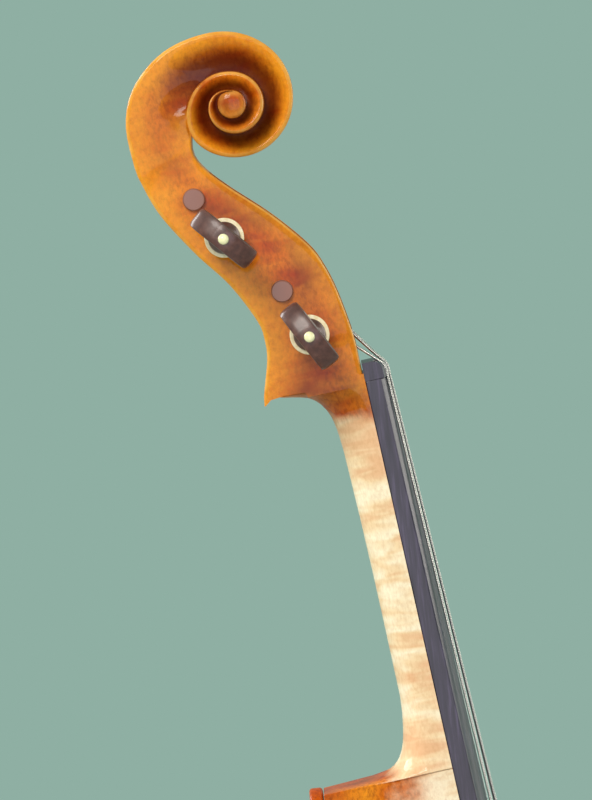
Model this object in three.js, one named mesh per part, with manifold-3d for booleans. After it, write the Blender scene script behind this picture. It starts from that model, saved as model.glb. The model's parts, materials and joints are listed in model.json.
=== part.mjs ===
// A violin as its maker puts it together: carved plates, ribs on blocks and linings, neck with pegbox and
// scroll, fittings, strings and four turning pegs. Millimetres. The origin is the middle of the end button's
// outer face, +Z runs up the body to the scroll, -Y is the belly side and -X the bass side.
import * as THREE from "three";
import { mergeVertices } from "three/addons/utils/BufferGeometryUtils.js";
import Module from "manifold-3d";

const wasm = await Module();
wasm.setup();

// Driving dimensions
const GAP = 0.3; // glue lines and running clearances
const BODY_BOTTOM = 9; // end of the body above the end button's face
const BODY_LENGTH = 355;
const RIB_HALF = 15.5; // half the rib height
const EDGE = 4; // plate thickness at the edge
const ARCH = 11.5; // rise of each arch above its edge
const PLATE = 3; // plate thickness under the arch
const OVERHANG = 2.5;
const RIB = 1;
const LINING = 2;
const LINING_HEIGHT = 7.5;
const NECK_TILT = 6.5; // degrees
const NUT_PLACE = { y: -9.5, z: 498.1 }; // front corner of the pegbox, behind the nut
const NECK_LENGTH = 135; // back of the nut to the body's edge
const HEEL_END = -121.5; // where the heel stands on the button
const ROOT_END = -141; // end of the root inside the top block
const BOARD_LENGTH = 270;
const NUT_LENGTH = 5.4;
const CROWN_RADIUS = 42;
const STRING_NAMES = ["g", "d", "a", "e"];
const STRING_RADIUS = { g: 0.4, d: 0.38, a: 0.33, e: 0.2 };
const NUT_SPACING = 5.5;
const BRIDGE_SPACING = 11.2;
const TAIL_SPACING = 9.3;
const BRIDGE_Z = BODY_BOTTOM + BODY_LENGTH - 195;
const BRIDGE_TOP = -61.5;
const BRIDGE_THICK = 3.4;
const TAIL_TOP = { y: -45.5, z: 113 }; // string end of the tailpiece, middle of its top
const TAIL_TILT = 11; // degrees
const TAIL_LENGTH = 100;
const BACK_BUTTON = 10.8; // radius of the back's button

// Each half outline from the bottom of the body to the top: x out from the middle, z up
const LOWER_BOUT = [[0, 0], [32, 1.8], [60, 9], [83, 25], [98, 48], [104, 76], [102, 93]];
LOWER_BOUT.push([96.5, 106], [92.6, 114.5], [93.6, 122]);
const WAIST = [[89.8, 126.6], [83, 126.4], [75, 129.5], [66.5, 137.5], [60, 150], [56.8, 166], [56, 183]];
WAIST.push([58.2, 200], [63.5, 212.5], [71, 220.5], [77.8, 223.6]);
const UPPER_BOUT = [[81.2, 227], [79.2, 235], [80, 248], [83.6, 270], [82.5, 292], [74, 317]];
UPPER_BOUT.push([57, 337.5], [34, 349.5], [12, 354.5], [0, 355]);

const degrees = THREE.MathUtils.degToRad;
const at = (x, y, z) => new THREE.Vector3(x, y, z);
const onPlan = ([x, z]) => new THREE.Vector2(x, z + BODY_BOTTOM);
const spline = (points) => new THREE.SplineCurve(points.map(onPlan));
const bouts = { lower: spline(LOWER_BOUT), waist: spline(WAIST), upper: spline(UPPER_BOUT) };

// Finishes
const finish = (color, roughness, metalness = 0) => () =>
  new THREE.MeshStandardMaterial({ color, roughness, metalness });
const varnish = finish("#b4480f", 0.25);
const spruce = finish("#cf8a45", 0.35);
const ebony = finish("#1d1b1e", 0.4);
const rosewood = finish("#5a2f2a", 0.4);
const bareWood = finish("#e8cfa4", 0.7);
const boxwood = finish("#f3e2b8", 0.5);
const steel = finish("#d8d4cf", 0.25, 1);
const blackCord = finish("#202022", 0.6);

// Solids
function solidOf(geometry) {
  const g = geometry.clone();
  g.deleteAttribute("normal");
  g.deleteAttribute("uv");
  const merged = mergeVertices(g, 1e-4);
  return new wasm.Manifold(
    new wasm.Mesh({
      numProp: 3,
      vertProperties: new Float32Array(merged.attributes.position.array),
      triVerts: new Uint32Array(merged.index.array),
    }),
  );
}

function geometryOf(solid) {
  const mesh = solid.getMesh();
  const geometry = new THREE.BufferGeometry();
  geometry.setAttribute("position", new THREE.BufferAttribute(new Float32Array(mesh.vertProperties), 3));
  geometry.setIndex(new THREE.BufferAttribute(new Uint32Array(mesh.triVerts), 1));
  return geometry;
}

const join = (first, ...others) => geometryOf(others.reduce((s, g) => s.add(solidOf(g)), solidOf(first)));
const cut = (first, ...others) => geometryOf(others.reduce((s, g) => s.subtract(solidOf(g)), solidOf(first)));
const common = (first, second) => geometryOf(solidOf(first).intersect(solidOf(second)));

const box = (low, high) =>
  new THREE.BoxGeometry(high[0] - low[0], high[1] - low[1], high[2] - low[2]).translate(
    (low[0] + high[0]) / 2,
    (low[1] + high[1]) / 2,
    (low[2] + high[2]) / 2,
  );

function extrude(points, depth, holes = []) {
  const shape = new THREE.Shape(points.map(([x, y]) => new THREE.Vector2(x, y)));
  shape.holes = holes.map((hole) => new THREE.Path(hole.map(([x, y]) => new THREE.Vector2(x, y))));
  return new THREE.ExtrudeGeometry(shape, { depth, bevelEnabled: false, curveSegments: 8 });
}

// An outline in x and z, standing from low to high in y
const standing = (points, low, high, holes) =>
  extrude(points, high - low, holes).rotateX(Math.PI / 2).translate(0, high, 0);

// A side view, [z, y] points, as thick as 2 * half in x
const sideView = (points, half) =>
  extrude(points.map(([z, y]) => [-z, y]), 2 * half).rotateY(Math.PI / 2).translate(-half, 0, 0);

// Rings of equally many points, joined one to the next and closed by a fan at each end
function loft(rings) {
  const count = rings[0].length;
  const points = rings.flat();
  const faces = [];
  const quad = (a, b, c, d) => faces.push([a, b, c], [a, c, d]);
  for (let r = 0; r + 1 < rings.length; r += 1)
    for (let i = 0; i < count; i += 1) {
      const next = (i + 1) % count;
      quad(r * count + i, r * count + next, (r + 1) * count + next, (r + 1) * count + i);
    }
  for (const [ring, turn] of [[0, true], [rings.length - 1, false]]) {
    const middle = rings[ring].reduce((sum, p) => sum.add(p), at(0, 0, 0)).divideScalar(count);
    points.push(middle);
    for (let i = 0; i < count; i += 1) {
      const edge = [ring * count + i, ring * count + ((i + 1) % count)];
      if (turn) edge.reverse();
      faces.push([edge[0], edge[1], points.length - 1]);
    }
  }
  const volume = faces.reduce((v, [a, b, c]) => v + points[a].dot(points[b].clone().cross(points[c])), 0);
  if (volume < 0) faces.forEach((face) => face.reverse());
  const geometry = new THREE.BufferGeometry().setFromPoints(points);
  geometry.setIndex(faces.flat());
  return geometry;
}

// The group, and one named mesh for each piece
const violin = new THREE.Group();
const neckFrame = new THREE.Group();
neckFrame.position.set(0, NUT_PLACE.y, NUT_PLACE.z);
neckFrame.rotation.x = -degrees(NECK_TILT);
const tailFrame = new THREE.Group();
tailFrame.position.set(0, TAIL_TOP.y, TAIL_TOP.z);
tailFrame.rotation.x = degrees(TAIL_TILT);
violin.add(neckFrame, tailFrame);
violin.updateMatrixWorld(true);

function add(name, geometry, material, parent = violin) {
  const plain = geometry.index ? geometry.toNonIndexed() : geometry;
  plain.computeVertexNormals();
  const mesh = new THREE.Mesh(plain, material());
  mesh.name = name;
  parent.add(mesh);
}

const inNeck = (x, along, back) => at(x, back, along).applyMatrix4(neckFrame.matrixWorld);
const inTail = (x, along, back) => at(x, back, along).applyMatrix4(tailFrame.matrixWorld);
const crown = (x) => CROWN_RADIUS - Math.sqrt(CROWN_RADIUS ** 2 - x ** 2);

// A point of an outline moved inwards by a distance, u running from 0 to 1 along it
function inset(curve, u, distance) {
  const p = curve.getPointAt(u);
  const t = curve.getTangentAt(u);
  return [p.x - t.y * distance, p.y + t.x * distance];
}

function insetRun(curve, from, to, distance, count) {
  const step = (to - from) / count;
  return Array.from({ length: count + 1 }, (_, i) => inset(curve, from + step * i, distance));
}

const mirrored = (points) => points.map(([x, z]) => [-x, z]).reverse();

// ---- Plates ----
const half = [
  ...bouts.lower.getPoints(14),
  ...bouts.waist.getPoints(13),
  ...bouts.upper.getPoints(12),
].map((p) => [p.x, p.y]);
const outline = [...half, ...mirrored(half).slice(1, -1)];
const SPINE = [BODY_BOTTOM + 75, BODY_BOTTOM + BODY_LENGTH - 62]; // ridge that the arch runs out to
const RINGS = [1, 0.92, 0.72, 0.48, 0.24, 0];

// How high the arch stands at a share of the way from the ridge to the edge, and along the ridge
const swell = (share) => (1 + Math.cos(Math.PI * Math.min(1, share / 0.93))) / 2;
const ridgeAt = (z) => THREE.MathUtils.clamp(z, ...SPINE);
const longArch = (z) => 1 - 0.35 * ((ridgeAt(z) - BRIDGE_Z - 15) / 118) ** 2;

// One arched surface, its rings drawn in from the outline to the ridge
function archRings(side, edgeY, rise, shares) {
  return shares.map((share) =>
    outline.map(([x, z]) => {
      const ridge = ridgeAt(z);
      return at(x * share, side * (edgeY + rise * longArch(z) * swell(share)), ridge + (z - ridge) * share);
    }),
  );
}

// A point of the arch: which share of the way out it lies, then its height
function archY(side, x, z) {
  const ridge = ridgeAt(z);
  const reach = bouts.waist.getPoints(60).find((p) => p.y >= z) || { x: 90 };
  const share = Math.max(Math.abs(x) / reach.x, Math.abs(z - ridge) / 70);
  return side * (RIB_HALF + EDGE + ARCH * longArch(z) * swell(share));
}

function plate(side) {
  const outer = archRings(side, RIB_HALF + EDGE, ARCH, RINGS);
  const inner = archRings(side, RIB_HALF, ARCH + EDGE - PLATE, RINGS);
  const rings = [...inner.reverse(), ...outer];
  const count = outline.length;
  const points = rings.flat();
  const faces = [];
  for (let r = 0; r + 1 < rings.length; r += 1)
    for (let i = 0; i < count; i += 1) {
      const next = (i + 1) % count;
      const [a, b, c, d] = [r * count + i, r * count + next, (r + 1) * count + next, (r + 1) * count + i];
      faces.push([a, b, c], [a, c, d]);
    }
  if (side > 0) faces.forEach((face) => face.reverse());
  const geometry = new THREE.BufferGeometry().setFromPoints(points);
  geometry.setIndex(faces.flat());
  return withoutSlivers(geometry);
}

// Drops the faces that fall flat along the ridge, where both sides of a ring meet
function withoutSlivers(geometry) {
  const merged = mergeVertices(geometry, 1e-3);
  const index = merged.index.array;
  const kept = [];
  for (let i = 0; i < index.length; i += 3) {
    const [a, b, c] = [index[i], index[i + 1], index[i + 2]];
    if (a !== b && b !== c && c !== a) kept.push(a, b, c);
  }
  merged.setIndex(kept);
  return merged;
}

const UPPER_EYE = { x: 24, z: 206, radius: 3.2 };
const LOWER_EYE = { x: 51, z: 136, radius: 4.3 };
function soundHole(side) {
  const middle = [[24, 203], [30, 207.5], [36.5, 201], [38, 185], [40, 168], [42, 150], [44, 139], [50, 133]];
  const stem = new THREE.CatmullRomCurve3(middle.map(([x, z]) => at(side * x, 0, z)));
  const widths = [1.6, 1.6, 2.2, 2.9, 3.2, 2.9, 2.2, 1.6];
  const left = [];
  const right = [];
  for (let i = 0; i <= 14; i += 1) {
    const p = stem.getPoint(i / 14);
    const t = stem.getTangent(i / 14);
    const w = widths[Math.min(7, Math.round(i / 2))];
    left.push([p.x - t.z * w, p.z + t.x * w]);
    right.push([p.x + t.z * w, p.z - t.x * w]);
  }
  const line = [...left, ...right.reverse()];
  const stemCut = standing(side > 0 ? line.reverse() : line, -60, 0);
  const eye = ({ x, z, radius }) =>
    new THREE.CylinderGeometry(radius, radius, 60, 16).translate(side * x, -30, z);
  return join(stemCut, eye(UPPER_EYE), eye(LOWER_EYE));
}

// ---- Neck root, for the mortise as well ----
const heelWidth = (along) => THREE.MathUtils.mapLinear(along, 0, -NECK_LENGTH, 12, 16.4);
function neckRing(along, depth, square, spread = 0) {
  const ring = [];
  for (let i = 0; i <= 10; i += 1) {
    const angle = (Math.PI * i) / 10;
    const reach = (v) => Math.sign(v) * Math.abs(v) ** (2 / square);
    const back = depth * reach(Math.sin(angle));
    const taper = 1 - (0.34 * Math.max(0, back - 8)) / 36;
    ring.push(at((heelWidth(along) * taper + spread) * reach(Math.cos(angle)), back - spread, along));
  }
  return ring;
}

const FULL = 44; // deeper than the button, and trimmed to it
function neckLoft() {
  return loft([
    neckRing(-4.5, 27.5, 2.6),
    neckRing(-5, 22.1, 2.4),
    neckRing(-6.5, 17.5, 2.2),
    neckRing(-9.6, 14.1, 2.1),
    neckRing(-13.6, 12, 2),
    neckRing(-18, 11.1, 2),
    neckRing(-60, 10.3, 2),
    neckRing(-99.5, 10.3, 2),
    neckRing(-110, 11.8, 2.1),
    neckRing(-116.7, 14.5, 2.3),
    neckRing(-119.4, 18.4, 2.5),
    neckRing(-121, 22.5, 2.8),
    neckRing(HEEL_END, 28, 3.4),
    neckRing(HEEL_END - 0.3, FULL, 5),
    neckRing(ROOT_END, FULL, 6),
  ]);
}
const rootLoft = loft([neckRing(HEEL_END - 3, FULL, 6, GAP), neckRing(ROOT_END - GAP, FULL, 6, GAP)]);
const toBody = (geometry) => geometry.clone().applyMatrix4(neckFrame.matrixWorld);
const mortise = toBody(rootLoft);

const SADDLE = { half: 18, low: BODY_BOTTOM - 0.5, high: BODY_BOTTOM + 7, top: -23 };
const notchHalf = SADDLE.half + GAP;
const saddleNotch = box([-notchHalf, -40, 0], [notchHalf, -RIB_HALF + 0.01, SADDLE.high + GAP]);
add("top_plate", cut(plate(-1), soundHole(-1), soundHole(1), mortise, saddleNotch), spruce);

const BUTTON_REACH = 374; // how far the back's button runs up under the heel
const button = new THREE.CylinderGeometry(BACK_BUTTON, BACK_BUTTON, EDGE, 24)
  .translate(0, RIB_HALF + EDGE / 2, BUTTON_REACH - BACK_BUTTON);
add("back_plate", join(plate(1), button), varnish);

// ---- Ribs, linings and blocks ----
// A strip between two insets of an outline
const strip = (curve, from, to, near, far, count) => [
  ...insetRun(curve, from, to, near, count),
  ...insetRun(curve, from, to, far, count).reverse(),
];
const runs = {
  lower: { rib: [0.004, 0.985, 28], lining: [0.16, 0.83, 16] },
  waist: { rib: [0.03, 0.97, 12], lining: [0.25, 0.72, 7] },
  upper: { rib: [0.02, 0.995, 14], lining: [0.19, 0.8, 9] },
};
const ribTop = RIB_HALF - GAP;
const BUTTON_SHANK = 3.8;
const shankHole = new THREE.CylinderGeometry(BUTTON_SHANK + GAP, BUTTON_SHANK + GAP, 60, 16)
  .rotateX(Math.PI / 2)
  .translate(0, 0, 20);
for (const [bout, run] of Object.entries(runs))
  for (const [sideName, side] of [["bass", -1], ["treble", 1]]) {
    const place = (points) => (side > 0 ? points : mirrored(points));
    const ribLine = place(strip(bouts[bout], run.rib[0], run.rib[1], OVERHANG, OVERHANG + RIB, run.rib[2]));
    const rib = standing(ribLine, -ribTop, ribTop);
    const holes = { lower: [shankHole], waist: [], upper: [mortise] };
    add(`rib_${bout}_${sideName}`, cut(rib, ...holes[bout]), varnish);
    const near = OVERHANG + RIB + GAP;
    const line = place(strip(bouts[bout], run.lining[0], run.lining[1], near, near + LINING, run.lining[2]));
    add(`lining_${bout}_${sideName}_front`, standing(line, -ribTop, LINING_HEIGHT - ribTop), bareWood);
    add(`lining_${bout}_${sideName}_back`, standing(line, ribTop - LINING_HEIGHT, ribTop), bareWood);
  }

const NEAR = OVERHANG + RIB + GAP;
const cornerBlocks = {
  lower: [...insetRun(bouts.lower, 0.88, 0.97, NEAR, 4), ...insetRun(bouts.waist, 0.05, 0.2, NEAR, 4)],
  upper: [...insetRun(bouts.waist, 0.78, 0.95, NEAR, 4), ...insetRun(bouts.upper, 0.03, 0.15, NEAR, 4)],
};
for (const [corner, points] of Object.entries(cornerBlocks)) {
  add(`block_${corner}_treble`, standing(points, -ribTop, ribTop), bareWood);
  add(`block_${corner}_bass`, standing(mirrored(points), -ribTop, ribTop), bareWood);
}
const BLOCK_DEPTH = 17;
const topCurve = insetRun(bouts.upper, 0.84, 1, NEAR, 5);
const topBlock = [
  ...topCurve,
  ...mirrored(topCurve).slice(1),
  [-topCurve[0][0], BODY_BOTTOM + BODY_LENGTH - NEAR - BLOCK_DEPTH - 4],
  [topCurve[0][0], BODY_BOTTOM + BODY_LENGTH - NEAR - BLOCK_DEPTH - 4],
];
add("block_top", cut(standing(topBlock, -ribTop, ribTop), mortise), bareWood);
const bottomCurve = insetRun(bouts.lower, 0, 0.13, NEAR, 5);
const bottomBlock = [
  ...mirrored(bottomCurve).slice(0, -1),
  ...bottomCurve,
  [bottomCurve.at(-1)[0], BODY_BOTTOM + NEAR + BLOCK_DEPTH],
  [-bottomCurve.at(-1)[0], BODY_BOTTOM + NEAR + BLOCK_DEPTH],
];
add("block_bottom", cut(standing(bottomBlock, -ribTop, ribTop), shankHole), bareWood);

// ---- Inside the body ----
const BAR = { x: -14, low: 60, high: 320, half: 2.75 };
const innerRise = (x, z) => (ARCH + EDGE - PLATE) * longArch(z) * swell(innerShare(x, z));
const innerY = (z, x) => -(RIB_HALF + innerRise(x, z));
function innerShare(x, z) {
  const ridge = ridgeAt(z);
  const ends = z < ridge ? SPINE[0] - BODY_BOTTOM : BODY_BOTTOM + BODY_LENGTH - SPINE[1];
  const across = Math.abs(x) / 62;
  return Math.min(0.9, Math.hypot(across, (z - ridge) / ends));
}
const barLine = [];
for (let i = 0; i <= 10; i += 1) {
  const z = BAR.low + ((BAR.high - BAR.low) * i) / 10;
  barLine.push([z, innerY(z, BAR.x - BAR.half) + 1.6]);
}
const barDepth = (z) => 3 + 8 * Math.sin((Math.PI * (z - BAR.low)) / (BAR.high - BAR.low));
const barLower = barLine.map(([z, y]) => [z, y + barDepth(z)]).reverse();
add("bass_bar", sideView([...barLine, ...barLower], BAR.half).translate(BAR.x, 0, 0), bareWood);

const POST = { x: 15.5, z: BRIDGE_Z - 7, radius: 3.1 };
const postEnd = RIB_HALF + innerRise(POST.x, POST.z) - 1.6;
add(
  "soundpost",
  new THREE.CylinderGeometry(POST.radius, POST.radius, 2 * postEnd, 20).translate(POST.x, 0, POST.z),
  bareWood,
);

// ---- End button, saddle, tailgut ----
const buttonProfile = [[0, 0], [4.6, 0], [6.4, 1], [7.2, 3], [6.9, 4.6], [5, 5.4], [5, 7.7]];
buttonProfile.push([6.6, 8.2], [6.6, 11], [BUTTON_SHANK, 11], [BUTTON_SHANK - 0.5, 34], [0, 34]);
const lathe = (points, segments = 24) =>
  new THREE.LatheGeometry(points.map(([r, y]) => new THREE.Vector2(r, y)), segments);
add("end_button", lathe(buttonProfile, 16).rotateX(Math.PI / 2), ebony);
const saddleSide = [
  [SADDLE.low, -RIB_HALF - 0.4],
  [SADDLE.high, -RIB_HALF - 0.4],
  [SADDLE.high, -RIB_HALF - EDGE - 0.6],
  [SADDLE.low + 3.4, SADDLE.top],
  [SADDLE.low + 0.8, SADDLE.top + 0.8],
  [SADDLE.low, SADDLE.top + 3],
];
add("saddle", sideView(saddleSide, SADDLE.half), ebony);

// A route whose ring stands at each of its points, so that corners stay where they are
class Route extends THREE.Curve {
  constructor(points) {
    super();
    this.points = points;
  }
  getPoint(t) {
    const place = t * (this.points.length - 1);
    const i = Math.min(this.points.length - 2, Math.floor(place));
    return this.points[i].clone().lerp(this.points[i + 1], place - i);
  }
  getPointAt(u) {
    return this.getPoint(u);
  }
  getTangentAt(u) {
    const step = 0.5 / (this.points.length - 1);
    const before = this.getPoint(Math.max(0, u - step));
    return this.getPoint(Math.min(1, u + step)).sub(before).normalize();
  }
}

function cord(points, radius, sides = 8) {
  const ring = [];
  for (let i = 0; i < sides; i += 1) {
    const angle = (2 * Math.PI * i) / sides;
    ring.push(new THREE.Vector2(radius * Math.cos(angle), radius * Math.sin(angle)));
  }
  return new THREE.ExtrudeGeometry(new THREE.Shape(ring), {
    steps: points.length - 1,
    bevelEnabled: false,
    extrudePath: new Route(points),
  });
}

const GUT = 0.9;
const gutSide = (side) => [
  inTail(side * 4.5, -TAIL_LENGTH - GAP, 3.2),
  inTail(side * 4.8, -TAIL_LENGTH - 1.8, 3.2),
  at(side * 6.4, SADDLE.top - GUT - GAP, SADDLE.low + 4),
  at(side * 6.9, SADDLE.top + 0.4 - GUT, SADDLE.low - 1.2),
  at(side * 7, -12, 6.5),
  at(side * 6.6, -3.6, 6.5),
];
const gutLoop = [0.05, 0.2, 0.35, 0.5, 0.65, 0.8, 0.95].map((turn) => {
  const angle = Math.PI * turn;
  return at(6.4 * Math.cos(angle), 6.4 * Math.sin(angle), 6.5);
});
add("tailgut", cord([...gutSide(1), ...gutLoop, ...gutSide(-1).reverse()], GUT), blackCord);

// ---- Fingerboard and nut ----
const BOARD_END = -NUT_LENGTH - BOARD_LENGTH;
const boardHalf = (along) => THREE.MathUtils.mapLinear(along, 0, BOARD_END, 12, 21.2);
function boardRing(along, hollow) {
  const w = boardHalf(along);
  const side = THREE.MathUtils.mapLinear(along, 0, BOARD_END, 4.75, 5.6);
  const top = THREE.MathUtils.mapLinear(along, 0, BOARD_END, 7.05, 9);
  const under = [[-1, 0], [-0.72, hollow], [0, hollow * 1.5], [0.72, hollow], [1, 0]];
  const over = [0.72, 0.36, 0, -0.36, -0.72].map((s) => at(s * w, crown(s * w) - top, along));
  const low = under.map(([s, lift]) => at(s * w, -GAP - lift, along));
  return [...low, at(w, -side, along), ...over, at(-w, -side, along)];
}
const FREE_BOARD = -NECK_LENGTH - 3;
add(
  "fingerboard",
  loft([
    boardRing(-NUT_LENGTH - GAP, 0),
    boardRing(-60, 0),
    boardRing(FREE_BOARD, 0),
    boardRing(FREE_BOARD - 6, 2),
    boardRing(-200, 2),
    boardRing(BOARD_END, 2),
  ]),
  ebony,
  neckFrame,
);

const NUT_TOP = 7.5;
function nutRing(along, top) {
  const w = 12;
  const over = [1, 0.66, 0.33, 0, -0.33, -0.66, -1].map((s) => at(s * w, crown(s * w) - top, along));
  return [at(-w, -GAP, along), at(w, -GAP, along), ...over];
}
add(
  "nut",
  loft([
    nutRing(-NUT_LENGTH, NUT_TOP),
    nutRing(-3.2, NUT_TOP - 0.1),
    nutRing(-1.2, NUT_TOP - 0.9),
    nutRing(0, 5),
  ]),
  ebony,
  neckFrame,
);

// ---- Pegs ----
// Each peg: its place in the pegbox, the side its head is on, how its thumb-piece is turned
const PEGS = {
  g: { along: 12, back: 12.8, side: -1, turn: 64.6 },
  e: { along: 25.9, back: 17.9, side: 1, turn: 40 },
  d: { along: 45, back: 30.9, side: -1, turn: 51.5 },
  a: { along: 57.7, back: 37.3, side: 1, turn: 75 },
};
const pegboxHalf = (along) => THREE.MathUtils.mapLinear(along, 8, 75, 13.6, 9);
const shaftRadius = (out) => 3.45 + out / 60; // taper of 1 in 30
const WINDING = 0.85;
const WINDING_PLACE = { g: -5.4, d: -2.7, a: 2.7, e: 5 };

function pegParts(name) {
  const peg = PEGS[name];
  const cheek = pegboxHalf(peg.along);
  const end = -cheek - 1.6;
  const shoulder = cheek + 4.6;
  const shaft = [
    [0, end],
    [2.4, end],
    [shaftRadius(end), end + 0.8],
    [shaftRadius(cheek), cheek],
    [shaftRadius(shoulder), shoulder],
    [5.2, shoulder + 1.4],
    [4.2, shoulder + 1.7],
    [4.2, shoulder + 3.5],
    [5, shoulder + 3.8],
    [3.6, shoulder + 5.4],
    [3.2, shoulder + 7],
    [3.1, shoulder + 9],
    [0, shoulder + 9],
  ];
  const heart = [[3, 0], [7.4, 2.6], [10.2, 6.4], [10.6, 9.6], [9, 12.6], [6, 13.9], [2.6, 13.2]];
  heart.push([0, 12.8]);
  const heartOutline = [...heart, ...mirrored(heart).slice(1)];
  const heartShape = new THREE.Shape(heartOutline.map(([x, y]) => new THREE.Vector2(x, y)));
  const thumb = new THREE.ExtrudeGeometry(heartShape, {
    depth: 3.4,
    bevelThickness: 1.6,
    bevelSize: 1.4,
    bevelOffset: -1.4,
    bevelSegments: 2,
  }).translate(0, shoulder + 6.2, -1.7);
  const ring = [[4.5, shoulder + 2], [5.82, shoulder + 2.1], [5.82, shoulder + 3.1], [4.5, shoulder + 3.2]];
  const tip = shoulder + 6.2 + 12.8 + GAP;
  const dome = [[0, tip], [1.6, tip], [1.5, tip + 0.6], [0.9, tip + 1.3], [0, tip + 1.5]];
  const place = WINDING_PLACE[name] * peg.side;
  const inner = shaftRadius(place) + GAP;
  const coil = [];
  for (const [r, y] of [[0, -1.7], [0.9, -1.4], [1, 0], [0.9, 1.4]])
    coil.push([inner + WINDING * r, place + y]);
  coil.push([inner, place + 1.7]);
  const hole = [[0, end - 3], [shaftRadius(end) + GAP, end - 3], [shaftRadius(cheek + 3) + GAP, cheek + 3]];
  hole.push([0, cheek + 3]);
  return {
    shaft: join(lathe(shaft, 14), thumb),
    collar: lathe([...ring, ring[0]], 18),
    pip: lathe(dome, 8),
    winding: lathe([...coil, coil[0]], 12),
    hole: lathe(hole, 14),
  };
}

// Turns a piece drawn about its own Y axis into its place across the pegbox
function acrossPegbox(geometry, { along, back, side, turn }) {
  const wide = at(0, -Math.cos(degrees(turn)), -Math.sin(degrees(turn)));
  const axis = at(side, 0, 0);
  const basis = new THREE.Matrix4().makeBasis(wide, axis, wide.clone().cross(axis));
  return geometry.clone().applyMatrix4(basis.setPosition(0, back, along));
}

const pegHoles = [];
for (const [name, peg] of Object.entries(PEGS)) {
  const parts = pegParts(name);
  add(`peg_${name}`, acrossPegbox(parts.shaft, peg), rosewood, neckFrame);
  add(`peg_${name}_collar`, acrossPegbox(parts.collar, peg), boxwood, neckFrame);
  add(`peg_${name}_pip`, acrossPegbox(parts.pip, peg), boxwood, neckFrame);
  add(`peg_${name}_winding`, acrossPegbox(parts.winding, peg), steel, neckFrame);
  pegHoles.push(acrossPegbox(parts.hole, peg));
}

// ---- Neck, pegbox and scroll, one piece of maple ----
// Side views as [along, back] points
const PEGBOX_FRONT = [[0, 0], [15, 1], [22, 2.1], [30, 4.2], [37, 7.5], [48, 16], [59, 26.6], [69, 34.4]];
const PEGBOX_BACK = [[82, 52.3], [70, 52.3], [63, 50.8], [56, 48.2], [42, 40.4], [31, 32.6]];
PEGBOX_BACK.push([24.6, 29], [18.6, 26.8]);
const CHIN = [[13, 26.1], [7, 26.7], [-2.3, 29.6], [-4.5, 31], [-5.9, 30.6], [-5, 27], [-5, 22]];
CHIN.push([-6.5, 17.5], [-7, 0]);
const EYE = { along: 82.5, back: 20.2 };
const pegboxSide = [...PEGBOX_FRONT, [93, 34], [91, 48], ...PEGBOX_BACK, ...CHIN];
const PEGBOX_WIDTHS = [[-8, 12.2], [0, 12.2], [8, 13.6], [75, 9], [110, 9]];
const frontView = (widths) =>
  standing([...widths.map(([z, w]) => [w, z]), ...widths.map(([z, w]) => [-w, z]).reverse()], -60, 70);
const pegboxBlock = common(sideView(pegboxSide, 16), frontView(PEGBOX_WIDTHS));
const CAVITY_SIDE = [[2, -8], [2, 17], [5.8, 20.4], [18, 20.4], [26, 24], [36, 31], [46, 38]];
CAVITY_SIDE.push([56, 43.4], [63, 45.4], [67, 44], [67.5, 39], [64, 30.4], [52, 8], [36, -8]);
const cavity = common(sideView(CAVITY_SIDE, 12), frontView([[0, 8.6], [8, 8.4], [70, 5.1]]));

// The volute, drawn in steps: each turn stands further out than the one before
const SPIRAL_RADII = [32, 31, 27, 21.6, 19.6, 18.6, 17.7, 17, 16.3, 15.8, 15.6, 14.9, 14.2, 13.5];
const outerTurn = SPIRAL_RADII.map((r, i) => {
  const angle = Math.PI - (Math.PI / 6) * i;
  return [EYE.along + r * Math.sin(angle), EYE.back - r * Math.cos(angle)];
});
function round(radius, reach) {
  const bar = new THREE.CylinderGeometry(radius, radius, 2 * reach, 20);
  return bar.rotateZ(Math.PI / 2).translate(0, EYE.back, EYE.along);
}
const neck = neckLoft();
const neckTrim = [
  box([-40, RIB_HALF - GAP, 300], [40, 90, 480]),
  box([-40, -200, 300], [40, 60, BODY_BOTTOM + BODY_LENGTH - OVERHANG - RIB - 6]),
];
const toNeck = neckFrame.matrixWorld.clone().invert();
const trimmedNeck = cut(neck, ...neckTrim.map((g) => g.applyMatrix4(toNeck)));
const head = join(pegboxBlock, sideView(outerTurn, 9), round(12.6, 12.5), round(9.2, 16.5), round(4, 20.7));
add("neck_and_scroll", cut(join(trimmedNeck, head), cavity, ...pegHoles), varnish, neckFrame);

// ---- Bridge ----
const bridgeTop = (x) => BRIDGE_TOP + crown(x) + 0.07 * x;
const footY = (x) => archY(-1, x, BRIDGE_Z) - GAP;
const bridgeHalf = [[20.5, footY(20.5)], [20.3, footY(20) - 2.4], [15, -39], [16.5, -43]];
bridgeHalf.push([20, -46.5], [20.4, -50], [18.6, bridgeTop(18) + 0.6]);
const bridgeOutline = [
  [11.5, footY(11.5)],
  ...bridgeHalf,
  ...[12, 6, 0, -6, -12].map((x) => [x, bridgeTop(x)]),
  ...[...bridgeHalf].reverse().map(([x, y]) => [-x, y + (y < -52 ? -2.6 : 0)]),
  [-11.5, footY(11.5)],
  [-8, -37],
  [0, -38.5],
  [8, -37],
];
const heartHole = [[0, -43.5], [2.6, -45.5], [3.6, -48], [2, -50], [0, -49]];
heartHole.push([-2, -50], [-3.6, -48], [-2.6, -45.5]);
const kidney = [[9, -44], [12.5, -44.6], [14.6, -47], [13, -49.6], [9.6, -48.4]];
const stand = ([x, y]) => [x, -y];
const bridge = extrude(bridgeOutline.map(stand), BRIDGE_THICK, [
  heartHole.map(stand),
  kidney.map(stand),
  mirrored(kidney.map(stand)),
]);
// The outline's heights point to the belly side
const bridgeTurn = new THREE.Matrix4().makeBasis(at(1, 0, 0), at(0, -1, 0), at(0, 0, -1));
add("bridge", bridge.applyMatrix4(bridgeTurn).translate(0, 0, BRIDGE_Z + BRIDGE_THICK / 2), bareWood);

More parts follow.
